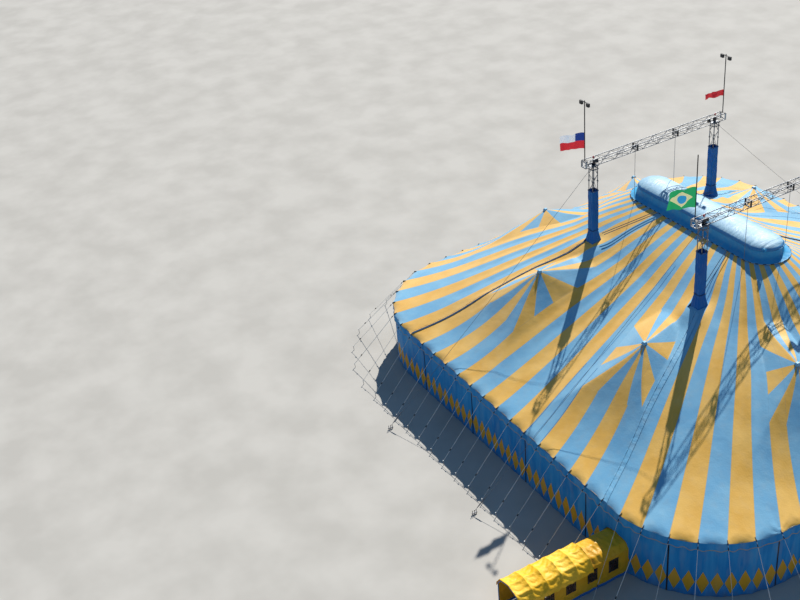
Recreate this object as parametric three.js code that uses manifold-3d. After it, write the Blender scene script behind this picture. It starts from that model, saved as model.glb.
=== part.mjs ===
// A four-mast circus big top: a striped membrane roof hung from four lattice masts and a ridge cupola,
// a vertical side wall with a low entrance tunnel, and the ring of guy ropes that holds the eave out.
// Millimetres, +Z up. +X runs along the cupola and +Y along the truss beams, away from the tunnel.
// The origin is on the ground, in the middle of everything that stands there, stakes and tunnel included.
import * as THREE from "three";
import { mergeVertices } from "three/addons/utils/BufferGeometryUtils.js";
import Module from "manifold-3d";

const wasm = await Module();
wasm.setup();

// Driving dimensions
const MAST_X = 4550; // mast centres from the middle, along and across the cupola
const MAST_Y = 4570;
const MAST_SIDE = 400;
const MAST_TOP = 13480;
const BEAM_SIDE = 440;
const BEAM_OVERHANG = 700;
const EAVE_HEIGHT = 3500;
const EAVE_HALF_X = 15700; // at the corners; the ends bow out by END_BOW
const EAVE_HALF_Y = 14850;
const EAVE_CORNER = 5700;
const END_BOW = 420;
const SEAM_EAVE_X = 9280; // where the lacing seams reach the eave
const SEAM_FOOT_X = 2930; // and where they leave the cupola
const SIDE_STRIPES = 14;
const END_STRIPES = 28;
const STRIPES = 2 * (SIDE_STRIPES + END_STRIPES);
const CLOTH = 40; // the membranes are modelled thick
const WALL_CLOTH = 30;
const CUPOLA_CENTRE_X = 4420; // centres of the cupola's round ends
const CUPOLA_FOOT_HALF = 1450;
const CUPOLA_SHOULDER = { half: 1110, rise: 130 }; // the skirt's inner edge, above its outer one
const CUPOLA_TOP_HALF = 1060;
const CUPOLA_FOOT_Z = 10150;
const CUPOLA_WALL_TOP = 10760;
const CUPOLA_RISE = 380;
const CANOPY_AT_MAST = 8560;
const SIDE_PEAK = { x: 4680, y: 8400, z: 7750 }; // the quarter-pole peaks on the long sides
const END_PEAK = { x: 10700, y: 3590, z: 7750 }; // and on the ends
const SLEEVE_HALF = 236;
const SLEEVE_TOP = 11890;
const FLAGPOLE_TOP = 17590;
const STAKE_REACH = 2900; // from the eave to the guy stakes
const STAKE_TOP = 320;
const STAKE_HALF = 28;
const ROPE = 24;
const ROPE_SHIFT = 0.02; // stripes
const TUNNEL_ROPE = 15; // this rope is led clear of the tunnel's roof
const TUNNEL_STAKE = [11900, -17450];
const ANCHOR_Y = 18550; // ground anchors of the mast stays
const STAY_LEAN = 1400;
const TUNNEL_X = 10300;
const TUNNEL_HALF = 900;
const TUNNEL_EAVE = 1620;
const TUNNEL_RIDGE = 2150;
const TUNNEL_END_Y = -21180;
const TUNNEL_LAP = 40; // the over-sheet reaches this far past the tunnel's end
const ANCHOR_HALF = 35;
const GAP = 0.3; // clearance between touching pieces

const COLOURS = {
  blue: 0x69a5d2, yellow: 0xdeb24e, deepBlue: 0x1f5f9c, paleBlue: 0xa8cfe6, silver: 0xb9bdc2,
  dark: 0x3a3d42, rope: 0xc9c9c4, tunnel: 0xd9ab1e, red: 0xc8282e, green: 0x2a9a57,
};

// The tent is drawn about the cupola's middle, and its group brings that to the origin chosen above.
const group = new THREE.Group();
const tent = new THREE.Group();
tent.position.y = -(TUNNEL_END_Y - TUNNEL_LAP + ANCHOR_Y + ANCHOR_HALF) / 2;
group.add(tent);

const add = (name, solid, colour, roughness = 0.7, metalness = 0) => {
  const mesh = solid.getMesh();
  const geometry = new THREE.BufferGeometry();
  const count = mesh.numVert;
  const position = new Float32Array(count * 3);
  for (let i = 0; i < count; i++)
    position.set(mesh.vertProperties.subarray(i * mesh.numProp, i * mesh.numProp + 3), i * 3);
  geometry.setAttribute("position", new THREE.BufferAttribute(position, 3));
  geometry.setIndex(new THREE.BufferAttribute(new Uint32Array(mesh.triVerts), 1));
  const material = new THREE.MeshStandardMaterial({ color: colour, roughness, metalness });
  const made = new THREE.Mesh(geometry, material);
  made.name = name;
  tent.add(made);
};

// Solids
const toSolid = (geometry) => {
  const bare = new THREE.BufferGeometry();
  bare.setAttribute("position", geometry.getAttribute("position"));
  if (geometry.index) bare.setIndex(geometry.index);
  const merged = mergeVertices(bare, 1e-3);
  return new wasm.Manifold(new wasm.Mesh({
    numProp: 3,
    vertProperties: merged.attributes.position.array,
    triVerts: new Uint32Array(merged.index.array),
  }));
};

const box = (low, high) => {
  const geometry = new THREE.BoxGeometry(high[0] - low[0], high[1] - low[1], high[2] - low[2]);
  geometry.translate((low[0] + high[0]) / 2, (low[1] + high[1]) / 2, (low[2] + high[2]) / 2);
  return toSolid(geometry);
};

const V = (x, y, z) => new THREE.Vector3(x, y, z);

// A straight bar of square or many-sided section between two points.
const bar = (from, to, width, sides = 4) => {
  const along = to.clone().sub(from);
  const geometry = new THREE.CylinderGeometry(width / 2, width / 2, along.length(), sides);
  geometry.rotateY(Math.PI / sides);
  if (sides === 4) geometry.scale(Math.SQRT2, 1, Math.SQRT2);
  const turn = new THREE.Quaternion().setFromUnitVectors(V(0, 1, 0), along.clone().normalize());
  geometry.applyQuaternion(turn);
  const middle = from.clone().add(to).multiplyScalar(0.5);
  geometry.translate(middle.x, middle.y, middle.z);
  return toSolid(geometry);
};

const join = (solids) => wasm.Manifold.union(solids);

// A closed solid from rows of points: an outer sheet, its inner copy, and the edges between them.
const sheet = (outer, inner, closed = false) => {
  const rows = outer.length;
  const columns = outer[0].length;
  const position = [...outer.flat(), ...inner.flat()].flatMap((p) => [p.x, p.y, p.z]);
  const at = (side, i, j) => side * rows * columns + i * columns + (j % columns);
  const index = [];
  const quad = (a, b, c, d) => index.push(a, b, c, a, c, d);
  const spans = closed ? columns : columns - 1;
  for (let i = 0; i < rows - 1; i++)
    for (let j = 0; j < spans; j++) {
      quad(at(0, i, j), at(0, i + 1, j), at(0, i + 1, j + 1), at(0, i, j + 1));
      quad(at(1, i, j), at(1, i, j + 1), at(1, i + 1, j + 1), at(1, i + 1, j));
    }
  for (let j = 0; j < spans; j++) {
    quad(at(0, 0, j), at(0, 0, j + 1), at(1, 0, j + 1), at(1, 0, j));
    quad(at(0, rows - 1, j + 1), at(0, rows - 1, j), at(1, rows - 1, j), at(1, rows - 1, j + 1));
  }
  if (!closed)
    for (let i = 0; i < rows - 1; i++) {
      quad(at(0, i + 1, 0), at(0, i, 0), at(1, i, 0), at(1, i + 1, 0));
      const last = columns - 1;
      quad(at(0, i, last), at(0, i + 1, last), at(1, i + 1, last), at(1, i, last));
    }
  const geometry = new THREE.BufferGeometry();
  geometry.setAttribute("position", new THREE.BufferAttribute(new Float32Array(position), 3));
  geometry.setIndex(index);
  const solid = toSolid(geometry);
  if (solid.volume() > 0) return solid;
  geometry.setIndex(index.map((_, k) => index[k - (k % 3) + (2 - (k % 3))]));
  return toSolid(geometry);
};

// Plan curves
// The eave is a rounded rectangle with bowed ends, walked by its length from the middle of the front side.
const eavePoints = (() => {
  const points = [];
  const steps = 90;
  const straightX = EAVE_HALF_X - EAVE_CORNER;
  const straightY = EAVE_HALF_Y - EAVE_CORNER;
  const bow = (y) => END_BOW * (1 - (y / EAVE_HALF_Y) ** 2);
  const put = (x, y) => {
    const share = Math.min(1, Math.abs(x) / EAVE_HALF_X) ** 4;
    points.push([x + Math.sign(x) * bow(y) * share, y]);
  };
  for (let i = 0; i < steps; i++) put((straightX * i) / steps, -EAVE_HALF_Y);
  for (let i = 0; i < steps; i++) {
    const a = (-90 + (90 * i) / steps) * (Math.PI / 180);
    put(straightX + EAVE_CORNER * Math.cos(a), -straightY + EAVE_CORNER * Math.sin(a));
  }
  for (let i = 0; i <= steps; i++) put(EAVE_HALF_X, (-straightY * (steps - i)) / steps);
  return points;
})();
const lengthsOf = (points) => {
  const total = [0];
  for (let i = 1; i < points.length; i++) {
    const step = Math.hypot(points[i][0] - points[i - 1][0], points[i][1] - points[i - 1][1]);
    total.push(total[i - 1] + step);
  }
  return total;
};
const walk = (points, lengths, s) => {
  let i = 1;
  while (i < points.length - 1 && lengths[i] < s) i++;
  const t = (s - lengths[i - 1]) / (lengths[i] - lengths[i - 1]);
  return [0, 1].map((k) => points[i - 1][k] + (points[i][k] - points[i - 1][k]) * t);
};
const footPoints = (() => {
  const points = [[0, -CUPOLA_FOOT_HALF], [CUPOLA_CENTRE_X, -CUPOLA_FOOT_HALF]];
  for (let i = 1; i <= 30; i++) {
    const a = (-90 + 3 * i) * (Math.PI / 180);
    points.push([CUPOLA_CENTRE_X + CUPOLA_FOOT_HALF * Math.cos(a), CUPOLA_FOOT_HALF * Math.sin(a)]);
  }
  return points;
})();
const eaveLengths = lengthsOf(eavePoints);
const footLengths = lengthsOf(footPoints);

// The plan point of stripe line u on the eave or on the cupola's foot; u counts from the front left seam.
const planPoint = (points, lengths, seam, u) => {
  const whole = ((u % STRIPES) + STRIPES) % STRIPES;
  const half = STRIPES / 2;
  const back = whole >= half;
  const v = back ? whole - half : whole;
  const quarter = SIDE_STRIPES / 2;
  const end = lengths[lengths.length - 1];
  let p;
  if (v <= quarter) {
    const q = walk(points, lengths, (seam * (quarter - v)) / quarter);
    p = [-q[0], q[1]];
  } else if (v <= SIDE_STRIPES) {
    p = walk(points, lengths, (seam * (v - quarter)) / quarter);
  } else {
    const part = (v - SIDE_STRIPES) / (END_STRIPES / 2);
    const s = seam + (end - seam) * (part <= 1 ? part : 2 - part);
    p = walk(points, lengths, s);
    if (part > 1) p = [p[0], -p[1]];
  }
  return back ? [-p[0], -p[1]] : p;
};
const eaveAt = (u) => planPoint(eavePoints, eaveLengths, SEAM_EAVE_X, u);
const footAt = (u) => planPoint(footPoints, footLengths, SEAM_FOOT_X, u);
const outwardAt = (u) => {
  const a = eaveAt(u - 0.2);
  const b = eaveAt(u + 0.2);
  const length = Math.hypot(b[0] - a[0], b[1] - a[1]);
  return [(b[1] - a[1]) / length, -(b[0] - a[0]) / length];
};
// A point at a distance outside the eave, on the straight chord between two stripe lines.
const shifted = (u, out) => {
  const low = Math.floor(u);
  const [a, b] = [low, low + 1].map((whole) => {
    const p = eaveAt(whole);
    const n = outwardAt(whole);
    return [p[0] + n[0] * out, p[1] + n[1] * out];
  });
  return [0, 1].map((k) => a[k] + (b[k] - a[k]) * (u - low));
};

// Roof net
// Stripe lines run straight in plan from the foot to the eave; masts and quarter poles pull the net to them.
// Its heights are those of a net under even tension and its own weight, found by repeated averaging.
const RINGS = 8;
const AVERAGING_ROUNDS = 1500;
const SAG_LOAD = 0.043e-3; // weight over tension, one over millimetres
const MAST_RING = 2;
const PEAK_RING = 4;
const mastColumns = [0, SIDE_STRIPES, STRIPES / 2, STRIPES / 2 + SIDE_STRIPES];
const sidePeakColumns = [2, 12, 44, 54];
const endPeakColumns = [23, 33, 65, 75];
const supports = [];
for (const u of mastColumns)
  supports.push({ u, ring: MAST_RING, x: MAST_X, y: MAST_Y, z: CANOPY_AT_MAST });
for (const u of sidePeakColumns)
  supports.push({ u, ring: PEAK_RING, ...SIDE_PEAK });
for (const u of endPeakColumns)
  supports.push({ u, ring: PEAK_RING, ...END_PEAK });
const baseNode = (u, ring) => {
  const a = footAt(u);
  const b = eaveAt(u);
  const t = ring / RINGS;
  return [a[0] + (b[0] - a[0]) * t, a[1] + (b[1] - a[1]) * t];
};
for (const s of supports) {
  const p = baseNode(s.u, s.ring);
  s.x *= Math.sign(p[0]);
  s.y *= Math.sign(p[1]);
  s.shift = [s.x - p[0], s.y - p[1]];
  s.base = p;
}
const REACH = 1300; // how far round a support the net's lines bend towards it
const netPlan = (u, ring) => {
  const p = baseNode(u, ring);
  const fade = Math.min(1, ring, RINGS - ring);
  const moved = [p[0], p[1]];
  for (const s of supports) {
    const away = Math.hypot(p[0] - s.base[0], p[1] - s.base[1]);
    const w = fade * Math.exp((-away * away) / (2 * REACH ** 2));
    moved[0] += s.shift[0] * w;
    moved[1] += s.shift[1] * w;
  }
  return moved;
};
const net = (() => {
  const grid = [];
  for (let i = 0; i <= RINGS; i++) {
    grid.push([]);
    for (let j = 0; j < STRIPES; j++) {
      const p = netPlan(j, i);
      grid[i].push(V(p[0], p[1], CUPOLA_FOOT_Z + (EAVE_HEIGHT - CUPOLA_FOOT_Z) * (i / RINGS)));
    }
  }
  const held = new Set();
  for (const s of supports) {
    grid[s.ring][s.u].set(s.x, s.y, s.z);
    held.add(s.ring * STRIPES + s.u);
  }
  const flat = (a, b) => Math.hypot(a.x - b.x, a.y - b.y);
  for (let round = 0; round < AVERAGING_ROUNDS; round++)
    for (let i = 1; i < RINGS; i++)
      for (let j = 0; j < STRIPES; j++) {
        if (held.has(i * STRIPES + j)) continue;
        const here = grid[i][j];
        const [before, after] = [(j + STRIPES - 1) % STRIPES, (j + 1) % STRIPES];
        const around = [grid[i - 1][j], grid[i + 1][j], grid[i][before], grid[i][after]];
        const radial = flat(around[0], around[1]) / 2;
        const hoop = flat(around[2], around[3]) / 2;
        const weights = around.map((p, k) => (k < 2 ? hoop : radial) / flat(p, here));
        const sum = weights.reduce((a, b) => a + b, 0);
        const level = around.reduce((total, p, k) => total + weights[k] * p.z, 0) / sum;
        here.z = level - (SAG_LOAD * radial * hoop) / sum;
      }
  return grid;
})();

// Masts
const latticeTower = (half, low, high, bays, chord, brace) => {
  const pieces = [];
  const c = half - chord / 2;
  const corners = [[-c, -c], [c, -c], [c, c], [-c, c]];
  const r = chord / 2;
  for (const [x, y] of corners)
    pieces.push(box([x - r, y - r, low], [x + r, y + r, high]));
  const pitch = (high - low) / bays;
  for (let i = 0; i < bays; i++)
    corners.forEach((a, k) => {
      const b = corners[(k + 1) % 4];
      const [from, to] = (i + k) % 2 ? [a, b] : [b, a];
      const z = low + pitch * i;
      pieces.push(bar(V(from[0], from[1], z), V(to[0], to[1], z + pitch), brace, 3));
    });
  return pieces;
};
const CHORD = 50;
const BRACE = 26;
const MAST_BAYS = 11;
const MAST_BASE = 20;
const BASE_HALF = 300;
const HEAD_HALF = 240;
const mastSolid = join([
  ...latticeTower(MAST_SIDE / 2, MAST_BASE, MAST_TOP, MAST_BAYS, CHORD, BRACE),
  box([-BASE_HALF, -BASE_HALF, 0], [BASE_HALF, BASE_HALF, MAST_BASE + 5]),
  box([-HEAD_HALF, -HEAD_HALF, MAST_TOP - 20], [HEAD_HALF, HEAD_HALF, MAST_TOP]),
]).intersect(box([-BASE_HALF, -BASE_HALF, 0], [BASE_HALF, BASE_HALF, MAST_TOP]));
const signs = [[-1, -1], [1, -1], [-1, 1], [1, 1]];
signs.forEach(([sx, sy], k) => {
  const placed = mastSolid.translate([sx * MAST_X, sy * MAST_Y, 0]);
  add("king_pole_" + (k + 1), placed, COLOURS.silver, 0.4, 0.8);
});

// Truss beams
const BEAM_LOW = MAST_TOP + GAP;
const BEAM_HIGH = BEAM_LOW + BEAM_SIDE;
const BEAM_HALF = MAST_Y + BEAM_OVERHANG;
const BEAM_BAYS = 12;
const HANGER_Y = 1510;
const POLE_Y = MAST_Y + 600;
const CROSS_INSET = 6; // the cross members lie this far inside the chords' faces
const CROSS_MEMBER = 38;
const beamSolid = (() => {
  const pieces = [];
  const r = CHORD / 2;
  const half = BEAM_SIDE / 2 - r;
  const middle = (BEAM_LOW + BEAM_HIGH) / 2;
  const corners = [[-half, -half], [half, -half], [half, half], [-half, half]];
  for (const [x, z] of corners)
    pieces.push(box([x - r, -BEAM_HALF, middle + z - r], [x + r, BEAM_HALF, middle + z + r]));
  const pitch = (2 * (BEAM_HALF - CHORD)) / BEAM_BAYS;
  for (let i = 0; i < BEAM_BAYS; i++)
    corners.forEach((a, k) => {
      const b = corners[(k + 1) % 4];
      const [from, to] = (i + k) % 2 ? [a, b] : [b, a];
      const y = -BEAM_HALF + CHORD + pitch * i;
      const [start, end] = [V(from[0], y, middle + from[1]), V(to[0], y + pitch, middle + to[1])];
      pieces.push(bar(start, end, BRACE, 3));
    });
  for (const y of [-POLE_Y, -MAST_Y, -HANGER_Y, HANGER_Y, MAST_Y, POLE_Y])
    for (const z of [BEAM_LOW + CROSS_INSET, BEAM_HIGH - CROSS_INSET - CROSS_MEMBER])
      pieces.push(box([-half, y - 30, z], [half, y + 30, z + CROSS_MEMBER]));
  return join(pieces);
})();
add("truss_beam_left", beamSolid.translate([-MAST_X, 0, 0]), COLOURS.silver, 0.4, 0.8);
add("truss_beam_right", beamSolid.translate([MAST_X, 0, 0]), COLOURS.silver, 0.4, 0.8);

// Flagpoles, each with a foot plate across the beam's chords; the left ones carry two floodlights on an arm
const POLE_WIDTH = 60;
const POLE_SIDES = 8;
const POLE_FOOT_HALF = 212;
const poleSolid = (lamps) => {
  const foot = BEAM_HIGH + GAP;
  const armZ = FLAGPOLE_TOP - 90;
  const pieces = [
    box([-POLE_FOOT_HALF, -60, foot], [POLE_FOOT_HALF, 60, foot + 12]),
    bar(V(0, 0, foot + 6), V(0, 0, FLAGPOLE_TOP), POLE_WIDTH, POLE_SIDES),
  ];
  if (lamps) {
    pieces.push(bar(V(-420, 0, armZ), V(420, 0, armZ), 40, 4));
    for (const x of [-300, 300])
      pieces.push(box([x - 110, -60, armZ - 200], [x + 110, 60, armZ + 10]));
  }
  return join(pieces);
};
signs.forEach(([sx, sy], k) => {
  const placed = poleSolid(sx < 0).translate([sx * MAST_X, sy * POLE_Y, 0]);
  add("flagpole_" + (k + 1), placed, COLOURS.dark, 0.5, 0.6);
});

// Flags, as flat cloths that all stream towards -Y
const FLAG_THICK = 24;
const flag = (name, k, length, top, drop, colour) => {
  const [sx, sy] = signs[k];
  const x = sx * MAST_X;
  const from = sy * POLE_Y - (POLE_WIDTH / 2) * Math.cos(Math.PI / POLE_SIDES) - GAP;
  const half = FLAG_THICK / 2;
  add(name, box([x - half, from - length, top - drop], [x + half, from, top]), colour, 0.8);
};
flag("flag_1", 0, 1700, 15950, 1250, COLOURS.red);
flag("flag_2", 1, 1900, 16150, 1500, COLOURS.green);
flag("flag_3", 2, 1500, 15500, 500, COLOURS.red);
flag("flag_4", 3, 1700, 16000, 1250, COLOURS.green);

// Sleeves, square tubes of cloth round the masts, with a flared collar at the roof
const squareRing = (profile) => {
  const points = profile.map(([half, z]) => new THREE.Vector2(half * Math.SQRT2, z));
  const geometry = new THREE.LatheGeometry(points, 4);
  geometry.rotateY(Math.PI / 4);
  geometry.rotateX(Math.PI / 2);
  return toSolid(geometry);
};
const sleeveSolid = (grow) => {
  const wall = 20;
  const flare = 440;
  const low = CANOPY_AT_MAST - 330;
  const outer = [[SLEEVE_HALF + grow, SLEEVE_TOP], [SLEEVE_HALF + grow, CANOPY_AT_MAST + 620],
    [flare + grow, CANOPY_AT_MAST + 60], [flare + grow, low - grow]];
  const inner = [[flare - wall, low], [flare - wall, CANOPY_AT_MAST + 50],
    [SLEEVE_HALF - wall, CANOPY_AT_MAST + 600], [SLEEVE_HALF - wall, SLEEVE_TOP]];
  const profile = grow ? [[0, SLEEVE_TOP], ...outer, [0, low - grow]] : [...outer, ...inner, outer[0]];
  const made = squareRing(profile);
  return made.volume() > 0 ? made : squareRing(profile.reverse());
};
signs.forEach(([sx, sy], k) => {
  const placed = sleeveSolid(0).translate([sx * MAST_X, sy * MAST_Y, 0]);
  add("mast_sleeve_" + (k + 1), placed, COLOURS.deepBlue, 0.6);
});

// Roof panels
const ROOF_SECTIONS = [["front", 0, 14], ["right_front", 14, 28], ["right_back", 28, 42],
  ["back", 42, 56], ["left_back", 56, 70], ["left_front", 70, 84]];
const sleeveSpace = sleeveSolid(GAP);
const mastHoles = join(signs.map(([sx, sy]) => sleeveSpace.translate([sx * MAST_X, sy * MAST_Y, 0])));
const netPoint = (u, i) => {
  const low = Math.floor(u);
  const t = u - low;
  const a = net[i][((low % STRIPES) + STRIPES) % STRIPES];
  const b = net[i][(low + 1) % STRIPES];
  return a.clone().lerp(b, t);
};
const EDGE_GAP = 0.00025; // in stripes: about 0.3 mm at the eave
const stations = (from, to) => {
  const us = [from + EDGE_GAP];
  for (let u = Math.floor(from) + 1; u < to - 1e-6; u++) us.push(u);
  us.push(to - EDGE_GAP);
  return us;
};
const onCupolaLine = (x) => Math.max(-CUPOLA_CENTRE_X, Math.min(CUPOLA_CENTRE_X, x));
ROOF_SECTIONS.forEach(([name, from, to], k) => {
  const lines = stations(from, to);
  const top = [];
  for (let i = 0; i <= RINGS; i++)
    top.push(lines.map((u) => {
      const p = netPoint(u, i);
      if (i) return p;
      const outward = V(p.x - onCupolaLine(p.x), p.y, 0);
      return p.add(outward.setLength(GAP));
    }));
  const bottom = top.map((row) => row.map((p) => V(p.x, p.y, p.z - CLOTH)));
  const solid = sheet(top, bottom).subtract(mastHoles);
  add("roof_" + name, solid, k % 2 ? COLOURS.blue : COLOURS.yellow, 0.55);
});

// Cupola: a ring frame hung from the beams, a cloth wall that spreads into a skirt, and a rounded top
const stadium = (half, z, step = 1) => {
  const points = [];
  for (let u = 0; u < STRIPES; u += step) {
    const p = footAt(u);
    const cx = onCupolaLine(p[0]);
    const r = [(p[0] - cx) / CUPOLA_FOOT_HALF, p[1] / CUPOLA_FOOT_HALF];
    points.push(V(cx + r[0] * half, r[1] * half, z));
  }
  return points;
};
const band = (levels, thick, step = 1) => {
  const rows = (inwards) => levels.map(([half, z]) => stadium(half - inwards, z, step));
  return sheet(rows(0), rows(thick), true);
};
const RING_HEIGHT = 80;
const HANGER = 24;
const LUG_HALF = 40;
const ringLow = CUPOLA_FOOT_Z - CLOTH;
const LUG_LOW = CUPOLA_FOOT_Z + 14;
const HANGER_TOP = BEAM_LOW + CROSS_INSET - GAP;
const cupolaFrame = (() => {
  const pieces = [band([[CUPOLA_FOOT_HALF, ringLow], [CUPOLA_FOOT_HALF, ringLow + RING_HEIGHT]], 80)];
  for (const [sx, sy] of signs) {
    const x = sx * MAST_X;
    const y = sy * HANGER_Y;
    const [near, far] = [sy * (CUPOLA_FOOT_HALF - 40), y + sy * 30];
    const [lowY, highY] = [Math.min(near, far), Math.max(near, far)];
    pieces.push(box([x - LUG_HALF, lowY, LUG_LOW], [x + LUG_HALF, highY, LUG_LOW + 20]));
    pieces.push(bar(V(x, y, LUG_LOW + 5), V(x, y, HANGER_TOP), HANGER, 6));
  }
  return join(pieces);
})();
add("cupola_frame", cupolaFrame, COLOURS.silver, 0.4, 0.8);
const wallLow = ringLow + RING_HEIGHT + GAP;
const wallLevels = [[CUPOLA_FOOT_HALF, wallLow],
  [CUPOLA_SHOULDER.half, wallLow + CUPOLA_SHOULDER.rise], [CUPOLA_TOP_HALF, CUPOLA_WALL_TOP]];
add("cupola_wall", band(wallLevels, CLOTH, 2), COLOURS.deepBlue, 0.6);
const domeSolid = (() => {
  const low = CUPOLA_WALL_TOP + GAP;
  const steps = 4;
  const topAngle = 80 * (Math.PI / 180);
  const shell = (half, rise) => Array.from({ length: steps + 1 }, (_, i) => {
    const a = (i / steps) * topAngle;
    return stadium(half * Math.cos(a), low + rise * Math.sin(a), 2);
  });
  const hull = (rows) => wasm.Manifold.hull(rows.flat().map((p) => [p.x, p.y, p.z]));
  const inside = hull(shell(CUPOLA_TOP_HALF - CLOTH, CUPOLA_RISE - CLOTH));
  return hull(shell(CUPOLA_TOP_HALF, CUPOLA_RISE)).subtract(inside);
})();
add("cupola_top", domeSolid, COLOURS.paleBlue, 0.5);

// Quarter poles, pointed under the roof's peaks
const quarterPole = (x, y, top) => {
  const profile = [[0, 0], [150, 0], [150, 12], [60, 30], [60, top - 220], [0, top]];
  const geometry = new THREE.LatheGeometry(profile.map(([r, z]) => new THREE.Vector2(r, z)), 10);
  geometry.rotateX(Math.PI / 2);
  return toSolid(geometry).translate([x, y, 0]);
};
supports.filter((s) => s.ring === PEAK_RING).forEach((s, k) => {
  const pole = quarterPole(s.x, s.y, s.z - CLOTH - GAP);
  add("quarter_pole_" + (k + 1), pole, COLOURS.silver, 0.4, 0.8);
});

// Side wall, valance, side poles and guy ropes, in sectors round the eave
const WALL_OUT = -40;
const RAIL_TOP = EAVE_HEIGHT - CLOTH - 20;
const VALANCE_OUT = -4;
const VALANCE_THICK = 24;
const VALANCE_DROP = 520;
const RAIL_OUT = WALL_OUT - WALL_CLOTH - GAP;
const RAIL = 60;
const SIDE_POLE = 42;
const WEBBING = 30;
const ROPE_START = 19; // inside the webbing
const DOOR_FROM = 14.1; // stripe positions of the doorway's sides
const DOOR_TO = 15.34;
const DOOR_HEIGHT = 2050;
const upright = (us, out, thick, low, high, closed = false) => {
  const topAt = typeof high === "function" ? high : () => high;
  const face = (offset) => [() => low, topAt].map((zAt) => us.map((u) => V(...shifted(u, offset), zAt(u))));
  return sheet(face(out), face(out - thick), closed);
};

// How steeply the roof leaves the eave at a stripe line: the flattest of the faces that meet there
const eaveSlope = (line) => {
  const faces = [[line - 1, line, line - 1], [line - 1, line, line], [line, line + 1, line]];
  const slopes = faces.map(([from, to, inner]) => {
    const [p, q] = [eaveAt(from), eaveAt(to)];
    const n = net[RINGS - 1][(inner + STRIPES) % STRIPES];
    const across = (q[0] - p[0]) * (n.y - p[1]) - (q[1] - p[1]) * (n.x - p[0]);
    return (n.z - EAVE_HEIGHT) / (Math.abs(across) / Math.hypot(q[0] - p[0], q[1] - p[1]));
  });
  return Math.min(...slopes);
};
// The height just under the roof, at a distance outside the eave that is negative on its inside
const underRoof = (out) => (u) => {
  const low = Math.floor(u);
  const [a, b] = [low, low + 1].map((line) => eaveSlope(line % STRIPES));
  return EAVE_HEIGHT - CLOTH - GAP - out * (a + (b - a) * (u - low));
};
const WALL_SECTIONS = [["front", 0, DOOR_FROM, 0], ["over_door", DOOR_FROM, DOOR_TO, DOOR_HEIGHT],
  ["right", DOOR_TO, 42, 0], ["back", 42, 56, 0], ["left", 56, 84, 0]];
for (const [name, from, to, low] of WALL_SECTIONS) {
  const wall = upright(stations(from, to), WALL_OUT, WALL_CLOTH, low, underRoof(WALL_OUT));
  add("side_wall_" + name, wall, COLOURS.deepBlue, 0.6);
}
const all = Array.from({ length: STRIPES }, (_, u) => u);
const valanceLow = EAVE_HEIGHT - VALANCE_DROP;
const valance = upright(all, VALANCE_OUT, VALANCE_THICK, valanceLow, underRoof(VALANCE_OUT), true);
add("valance", valance, COLOURS.blue, 0.6);

// Side poles stand under a rail behind the wall, one at every second stripe, in four quarters of the ring
const POLE_SECTIONS = [["front_right", 7, 28], ["back_right", 28, 49], ["back_left", 49, 70],
  ["front_left", 70, 91]];
for (const [name, from, to] of POLE_SECTIONS) {
  const pieces = [upright(stations(from, to), RAIL_OUT, RAIL, RAIL_TOP - RAIL, RAIL_TOP)];
  for (let u = from + 1 + (from + 1) % 2; u < to; u += 2) {
    const [x, y] = shifted(u, RAIL_OUT - RAIL / 2);
    pieces.push(bar(V(x, y, 0), V(x, y, RAIL_TOP - RAIL / 2), SIDE_POLE, 4));
  }
  add("side_poles_" + name, join(pieces), COLOURS.silver, 0.4, 0.8);
}

// Guy ropes run from the eave webbing to stakes, one at every stripe line
for (const [name, from, to] of ROOF_SECTIONS) {
  const strip = upright(stations(from, to), GAP + WEBBING, WEBBING, EAVE_HEIGHT - CLOTH, EAVE_HEIGHT);
  const pieces = [strip];
  for (let u = from; u < to; u++) {
    const at = u + ROPE_SHIFT;
    const [x0, y0] = shifted(at, ROPE_START);
    const [x1, y1] = u === TUNNEL_ROPE ? TUNNEL_STAKE : shifted(at, STAKE_REACH);
    pieces.push(bar(V(x0, y0, EAVE_HEIGHT - CLOTH / 2), V(x1, y1, STAKE_TOP - 60), ROPE, 3));
    pieces.push(box([x1 - STAKE_HALF, y1 - STAKE_HALF, 0], [x1 + STAKE_HALF, y1 + STAKE_HALF, STAKE_TOP]));
  }
  add("guy_ropes_" + name, join(pieces), COLOURS.rope, 0.8);
}

// Mast stays, from each mast head over the roof to an anchor outside the guy ropes
const STAY = 24;
const STAY_DROP = 200; // the collar's depth below the mast's head
signs.forEach(([sx, sy], k) => {
  const x = sx * MAST_X;
  const y = sy * MAST_Y;
  const half = MAST_SIDE / 2;
  const z = MAST_TOP - STAY_DROP;
  const outside = half + 30;
  const inside = half + GAP;
  const collar = box([x - outside, y - outside, z - 40], [x + outside, y + outside, z])
    .subtract(box([x - inside, y - inside, z - 50], [x + inside, y + inside, z + 10]));
  const anchor = V(x + sy * STAY_LEAN, sy * ANCHOR_Y, 200);
  const cable = bar(V(x, y + sy * (half + 15), z - 20), anchor, STAY, 4);
  const r = ANCHOR_HALF;
  const post = box([anchor.x - r, anchor.y - r, 0], [anchor.x + r, anchor.y + r, STAKE_TOP]);
  add("mast_stay_" + (k + 1), join([collar, cable, post]), COLOURS.dark, 0.5, 0.6);
});

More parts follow.
